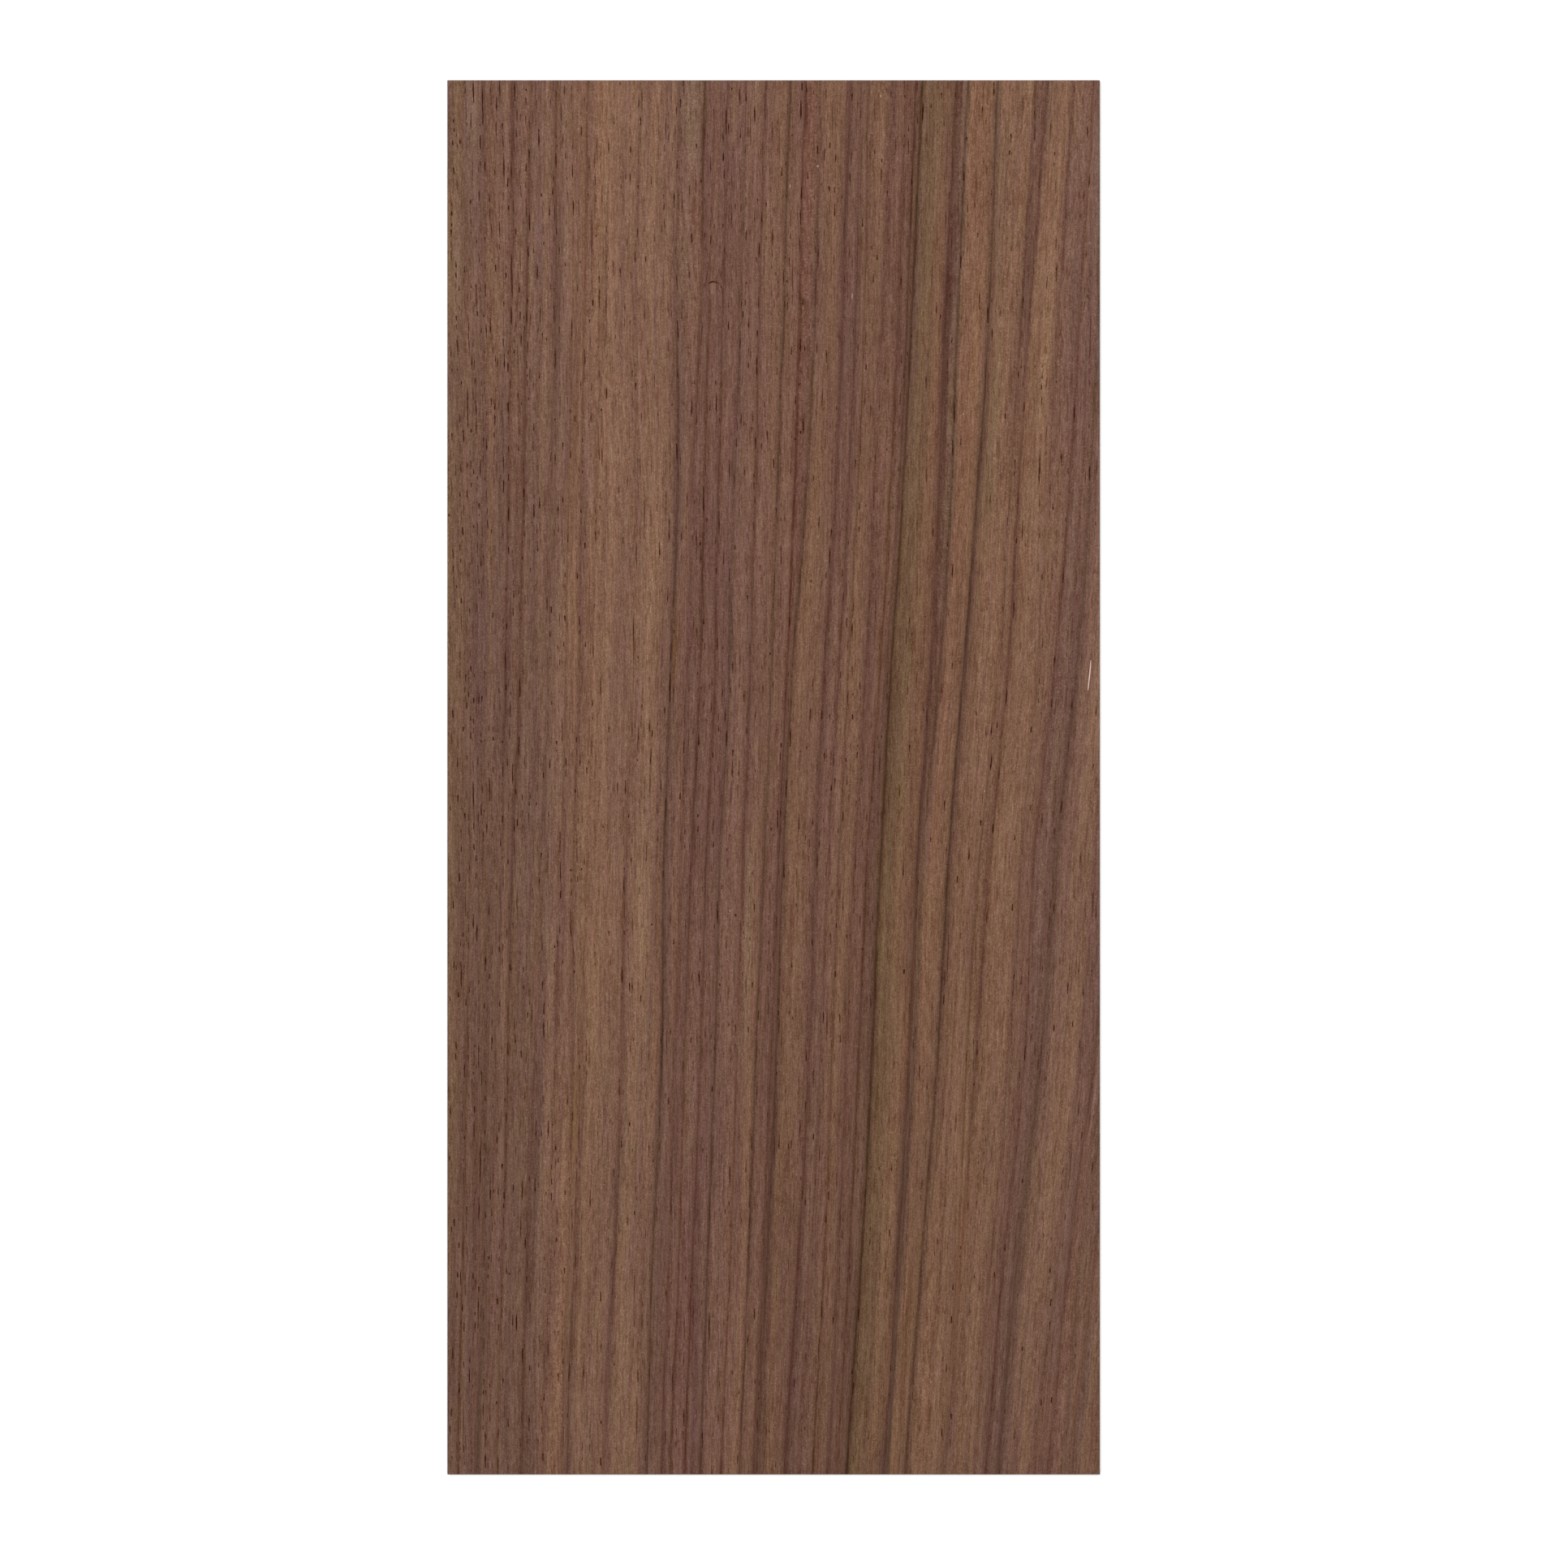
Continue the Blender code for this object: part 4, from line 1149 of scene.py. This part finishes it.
# The stain that follows the cracks at the nick: x, y, half width and half length of each short run.
STAIN = (
    (-13.75, 112.0, 0.22, 1.4), (-13.95, 110.0, 0.24, 1.3), (-14.2, 108.4, 0.27, 1.1),
    (-14.5, 107.0, 0.3, 0.9), (-14.75, 105.9, 0.24, 0.7), (-11.6, 106.2, 0.3, 0.35),
    (-11.25, 105.5, 0.24, 0.5), (-11.0, 104.4, 0.22, 0.8), (-10.9, 102.6, 0.2, 1.4),
    (-10.85, 100.4, 0.16, 1.2), (-11.2, 108.2, 0.4, 1.2), (-10.9, 110.6, 0.3, 1.8),
)
STAIN_BROWN = (84, 48, 38)
STAIN_STRENGTH = 0.62
share = 0.0
for x, y, half_width, half_length in STAIN:
    half_size = (half_width, half_length)
    share = add_patch(share, true_place, PATCH_RIM, (ring_of(x, y), y), half_size, STAIN_STRENGTH)
colour = lay_over(wood, share, colour, linear(STAIN_BROWN))

# The growth lines, darkness added up for each brown, and broken up along their length. The foot, the
# lower part, the upper part and the head lie at four heights, with an even change between them.
LINE_CONTRAST = 1 / 28
PART_HEIGHTS = (-130, -45, 45, 130)
shares = []
for low, high in zip(PART_HEIGHTS, PART_HEIGHTS[1:]):
    rise = high - low
    shares.append(sum_up(wood, "MULTIPLY_ADD", ragged_height, 1 / rise, -low / rise, clamp=True))
shares = put(wood, "ShaderNodeCombineXYZ", dict(enumerate(shares))).outputs[0]
patchy = sum_up(wood, "MULTIPLY_ADD", thread, 0.3, 1.0)
patchy = sum_up(wood, "MULTIPLY_ADD", cloud, 0.3, patchy)
line_ring = sum_up(wood, "MULTIPLY_ADD", thread, 0.09, ring)
line_ring = sum_up(wood, "MULTIPLY_ADD", fibre, 0.07, line_ring)
for brown, levels in LINE_BROWNS.items():
    dark = 0.0
    for line, place in zip(LINES, RING):
        if line[3] != brown:
            continue
        head, higher, lower, foot = (amount * LINE_CONTRAST for amount in line[2])
        dark = use_group(
            wood,
            line_group,
            {
                "So far": dark, "Ring": line_ring, "Line at": place, "Over left": -1 / line[1][0],
                "Over right": 1 / line[1][1], "Foot": foot, "Shares": shares,
                "Steps": (lower - foot, higher - lower, head - higher),
            },
        )
    dark = sum_up(wood, "MULTIPLY", dark, patchy, clamp=True)
    colour = lay_over(wood, dark, colour, linear(levels))

# Fibres and flecks lighten and darken the wood evenly, tiny pale specks are painted in as glints off
# the fibres (painted highlights), pale stripes are more golden, and the hue drifts between violet and
# green.
FIBRE_SHARE = 0.27
THREAD_SHARE = 0.20
FLECK_SHARE = 0.18
CLOUD_SHARE = 0.03
texture = sum_up(wood, "MULTIPLY", fibre, FIBRE_SHARE)
texture = sum_up(wood, "MULTIPLY_ADD", thread, THREAD_SHARE, texture)
texture = sum_up(wood, "MULTIPLY_ADD", fleck, FLECK_SHARE, texture)
# Painted highlight: pale glints painted into the colour as tiny specks.
painted_glints = ease(wood, glint, start=0.2, end=1.1, low=-0.03, high=0.5)
texture = sum_up(wood, "ADD", painted_glints, texture)
stripes = sum_up(wood, "MULTIPLY", band, ease(wood, ring, start=-30.0, end=15.0, low=0.17, high=0.12))
stripes = sum_up(wood, "MULTIPLY_ADD", broad, CLOUD_SHARE, stripes)
stripes = sum_up(wood, "MULTIPLY_ADD", cloud, CLOUD_SHARE, stripes)
GREY_LIGHT = (0.88, 1.2, 1.45)
GOLD_LIGHT = (1.0, 1.2, 0.8)
for amount, light in ((texture, GREY_LIGHT), (stripes, GOLD_LIGHT)):
    light = vector_sum(wood, "MULTIPLY_ADD", amount, light, (1, 1, 1))
    colour = vector_sum(wood, "MULTIPLY", colour, light)
drift = streaks(wood, ring, height, width=1.1, length=8.0, seed=37.7, detail=2.0, roughness=0.6)
drift = sum_up(wood, "MULTIPLY_ADD", drift, 0.5, 0.5, clamp=True)
GREEN_TINT = (0.97, 1.02, 0.93, 1)
VIOLET_TINT = (1.03, 0.98, 1.07, 1)
colour = vector_sum(wood, "MULTIPLY", colour, lay_over(wood, drift, GREEN_TINT, VIOLET_TINT))

# Pores too fine to be cut as grooves.
specks = streaks(wood, spiral, height, width=0.19, length=1.6, seed=41.3, detail=0.0)
specks = ease(wood, specks, start=0.5, end=1.1, low=0.0, high=0.29)
hairs = streaks(wood, spiral, height, width=0.2, length=7.0, seed=47.9, detail=0.0)
hairs = ease(wood, hairs, start=0.5, end=1.1, low=0.0, high=0.34)
specks = sum_up(wood, "MAXIMUM", specks, hairs)
PORE_BROWN = (62, 27, 8)
colour = lay_over(wood, specks, colour, linear(PORE_BROWN))
# The chips' paleness is partly torn fibre and partly painted highlight.
colour = lay_over(wood, pale_chips_and_highlight, colour, linear(CHIP_PALE_AND_HIGHLIGHT))

# The opened vessels are painted dark inside, darker with depth: partly the dark brown of the vessel walls
# and partly painted shade in the hollow. Some of them are filled with paler dust.
PORE_MIDDLE = 0.94
PORE_DUST = 0.38
dust = streaks(wood, spiral, height, width=0.6, length=1.3, seed=53.1, detail=1.0)
pore_brown_and_shade = sum_up(wood, "MULTIPLY_ADD", dust, PORE_DUST, PORE_MIDDLE)
pore_brown_and_shade = sum_up(wood, "MULTIPLY", pore_brown_and_shade, groove, clamp=True)
# Painted shade: the groove depth darkens the colour, on top of the vessels' own brown.
colour = lay_over(wood, pore_brown_and_shade, colour, linear(PORE_BROWN))

# The sliver of the splinter, whose depth is written as -1, is bare, pale, torn wood.
SPLINTER_PALE = (228, 198, 184)
pale = sum_up(wood, "MULTIPLY_ADD", thread, 0.12, 0.88)
pale = sum_up(wood, "MULTIPLY", pale, sum_up(wood, "MULTIPLY", groove, -1.0), clamp=True)
colour = lay_over(wood, pale, colour, linear(SPLINTER_PALE))

# The wood is darker in a narrow band along the four edges of face and back, and on the cut edges.
EDGE_DARK_INNER = 0.22
EDGE_DARK_OUTER = 0.04
EDGE_DARKENING = 0.38
spot = put(wood, "ShaderNodeTexCoord", {})
spot = put(wood, "ShaderNodeMapping", {0: spot.outputs["Object"], "Scale": (1 / MM, 1 / MM, 1 / MM)})
spot = put(wood, "ShaderNodeVectorMath", {0: spot.outputs[0]}, operation="ABSOLUTE")
spot = put(wood, "ShaderNodeSeparateXYZ", {0: spot.outputs[0]})
side = ease(wood, spot.outputs[0], HALF_WIDTH - EDGE_DARK_INNER, HALF_WIDTH - EDGE_DARK_OUTER)
end = ease(wood, spot.outputs[1], HALF_LENGTH - EDGE_DARK_INNER, HALF_LENGTH - EDGE_DARK_OUTER)
rim = sum_up(wood, "MAXIMUM", side, end)
rim = sum_up(wood, "MULTIPLY_ADD", rim, -EDGE_DARKENING, 1.0)
colour = scaled(wood, colour, rim)
wood.links.new(colour, shader.inputs["Base Color"])

# Raw wood is dull, a little duller in the vessels and along the fuzzier fibres.
RAW_ROUGHNESS = 0.62
FIBRE_FUZZ = 0.03
VESSEL_FUZZ = 0.2
RAW_GLOSS = 0.06
FIBRE_HEIGHT = 0.012 * MM
dull = sum_up(wood, "MULTIPLY_ADD", thread, FIBRE_FUZZ, RAW_ROUGHNESS)
dull = sum_up(wood, "MULTIPLY_ADD", fleck, FIBRE_FUZZ, dull)
dull = sum_up(wood, "MULTIPLY_ADD", groove, VESSEL_FUZZ, dull, clamp=True)
wood.links.new(dull, shader.inputs["Roughness"])
shader.inputs["Specular IOR Level"].default_value = RAW_GLOSS
relief = sum_up(wood, "MULTIPLY_ADD", fleck, 0.5, fibre)
relief = sum_up(wood, "MULTIPLY_ADD", specks, -2.0, relief)
bump = put(wood, "ShaderNodeBump", {"Strength": 1.0, "Distance": FIBRE_HEIGHT, "Height": relief})
wood.links.new(bump.outputs[0], shader.inputs["Normal"])

leaf.data.materials.clear()
leaf.data.materials.append(walnut)
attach(leaf, "root")
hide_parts("veneer_sheet")

# The table and the light
# A plain white table top that the leaf lies on, with a soft lamp above the left shoulder, a weak one
# opposite and a white room round them. They aren't part of the leaf.
TABLE_HALF = 1.5
TABLE_DROP = 0.04 * MM
TABLE_WHITE = (0.82, 0.82, 0.82, 1)
TABLE_LIFT = 0.36
bpy.ops.object.select_all(action="DESELECT")
bpy.ops.mesh.primitive_plane_add(size=2 * TABLE_HALF, location=(0, 0, -TABLE_DROP))
table = bpy.context.object
table.name = "table_top"
bpy.ops.object.transform_apply(location=True, rotation=True, scale=True)
white = bpy.data.materials.new("white_table")
white.use_nodes = True
tree = white.node_tree
tree.nodes.clear()
matt = put(tree, "ShaderNodeBsdfDiffuse", {"Color": TABLE_WHITE})
ray = put(tree, "ShaderNodeLightPath", {})
seen = sum_up(tree, "MAXIMUM", ray.outputs["Is Camera Ray"], ray.outputs["Is Glossy Ray"])
seen = sum_up(tree, "MAXIMUM", seen, ray.outputs["Is Transmission Ray"])
lift = sum_up(tree, "MULTIPLY", seen, TABLE_LIFT)
glow = put(tree, "ShaderNodeEmission", {"Color": (1, 1, 1, 1), "Strength": lift})
both = put(tree, "ShaderNodeAddShader", {0: matt.outputs[0], 1: glow.outputs[0]})
put(tree, "ShaderNodeOutputMaterial", {"Surface": both.outputs[0]})
table.data.materials.append(white)

ROOM_LIGHT = 0.5
room = bpy.data.worlds.new("white_room")
bpy.context.scene.world = room
room.use_nodes = True
tree = room.node_tree
tree.nodes.clear()
ray = put(tree, "ShaderNodeLightPath", {})
seen = sum_up(tree, "MAXIMUM", ray.outputs["Is Camera Ray"], ray.outputs["Is Glossy Ray"])
seen = sum_up(tree, "MAXIMUM", seen, ray.outputs["Is Transmission Ray"])
strength = sum_up(tree, "MULTIPLY_ADD", seen, 1 - ROOM_LIGHT, ROOM_LIGHT)
sky = put(tree, "ShaderNodeBackground", {"Color": (1, 1, 1, 1), "Strength": strength})
put(tree, "ShaderNodeOutputWorld", {"Surface": sky.outputs[0]})


def lamp(name, place, size, power):
    """A square soft lamp that shines at the middle of the leaf."""
    light = bpy.data.lights.new(name, "AREA")
    light.size = size
    light.energy = power
    stand = bpy.data.objects.new(name, light)
    stand.location = place
    distance = math.dist(place, (0, 0, 0))
    stand.rotation_euler = (
        math.acos(place[2] / distance), 0, math.atan2(place[1], place[0]) + math.pi / 2
    )
    bpy.context.scene.collection.objects.link(stand)


lamp("soft_key", (-3.0, 2.4, 4.2), 2.9, 187.0)
lamp("soft_fill", (3.3, -2.1, 4.3), 3.2, 52.0)

# The camera looks straight down on the show face, with the long side upright.
FRAME_WIDTH = 337.35
CAMERA_LENS = 85.0
SENSOR = 36.0
VIEW_MIDDLE = (2.24, -1.42)
view = bpy.data.cameras.new("camera")
view.lens = CAMERA_LENS
view.sensor_width = SENSOR
view.clip_start = 0.01
camera = bpy.data.objects.new("camera", view)
camera.location = (
    VIEW_MIDDLE[0] * MM, VIEW_MIDDLE[1] * MM, (THICKNESS + FRAME_WIDTH * CAMERA_LENS / SENSOR) * MM
)
bpy.context.scene.collection.objects.link(camera)
bpy.context.scene.camera = camera
bpy.context.scene.view_settings.view_transform = "Standard"
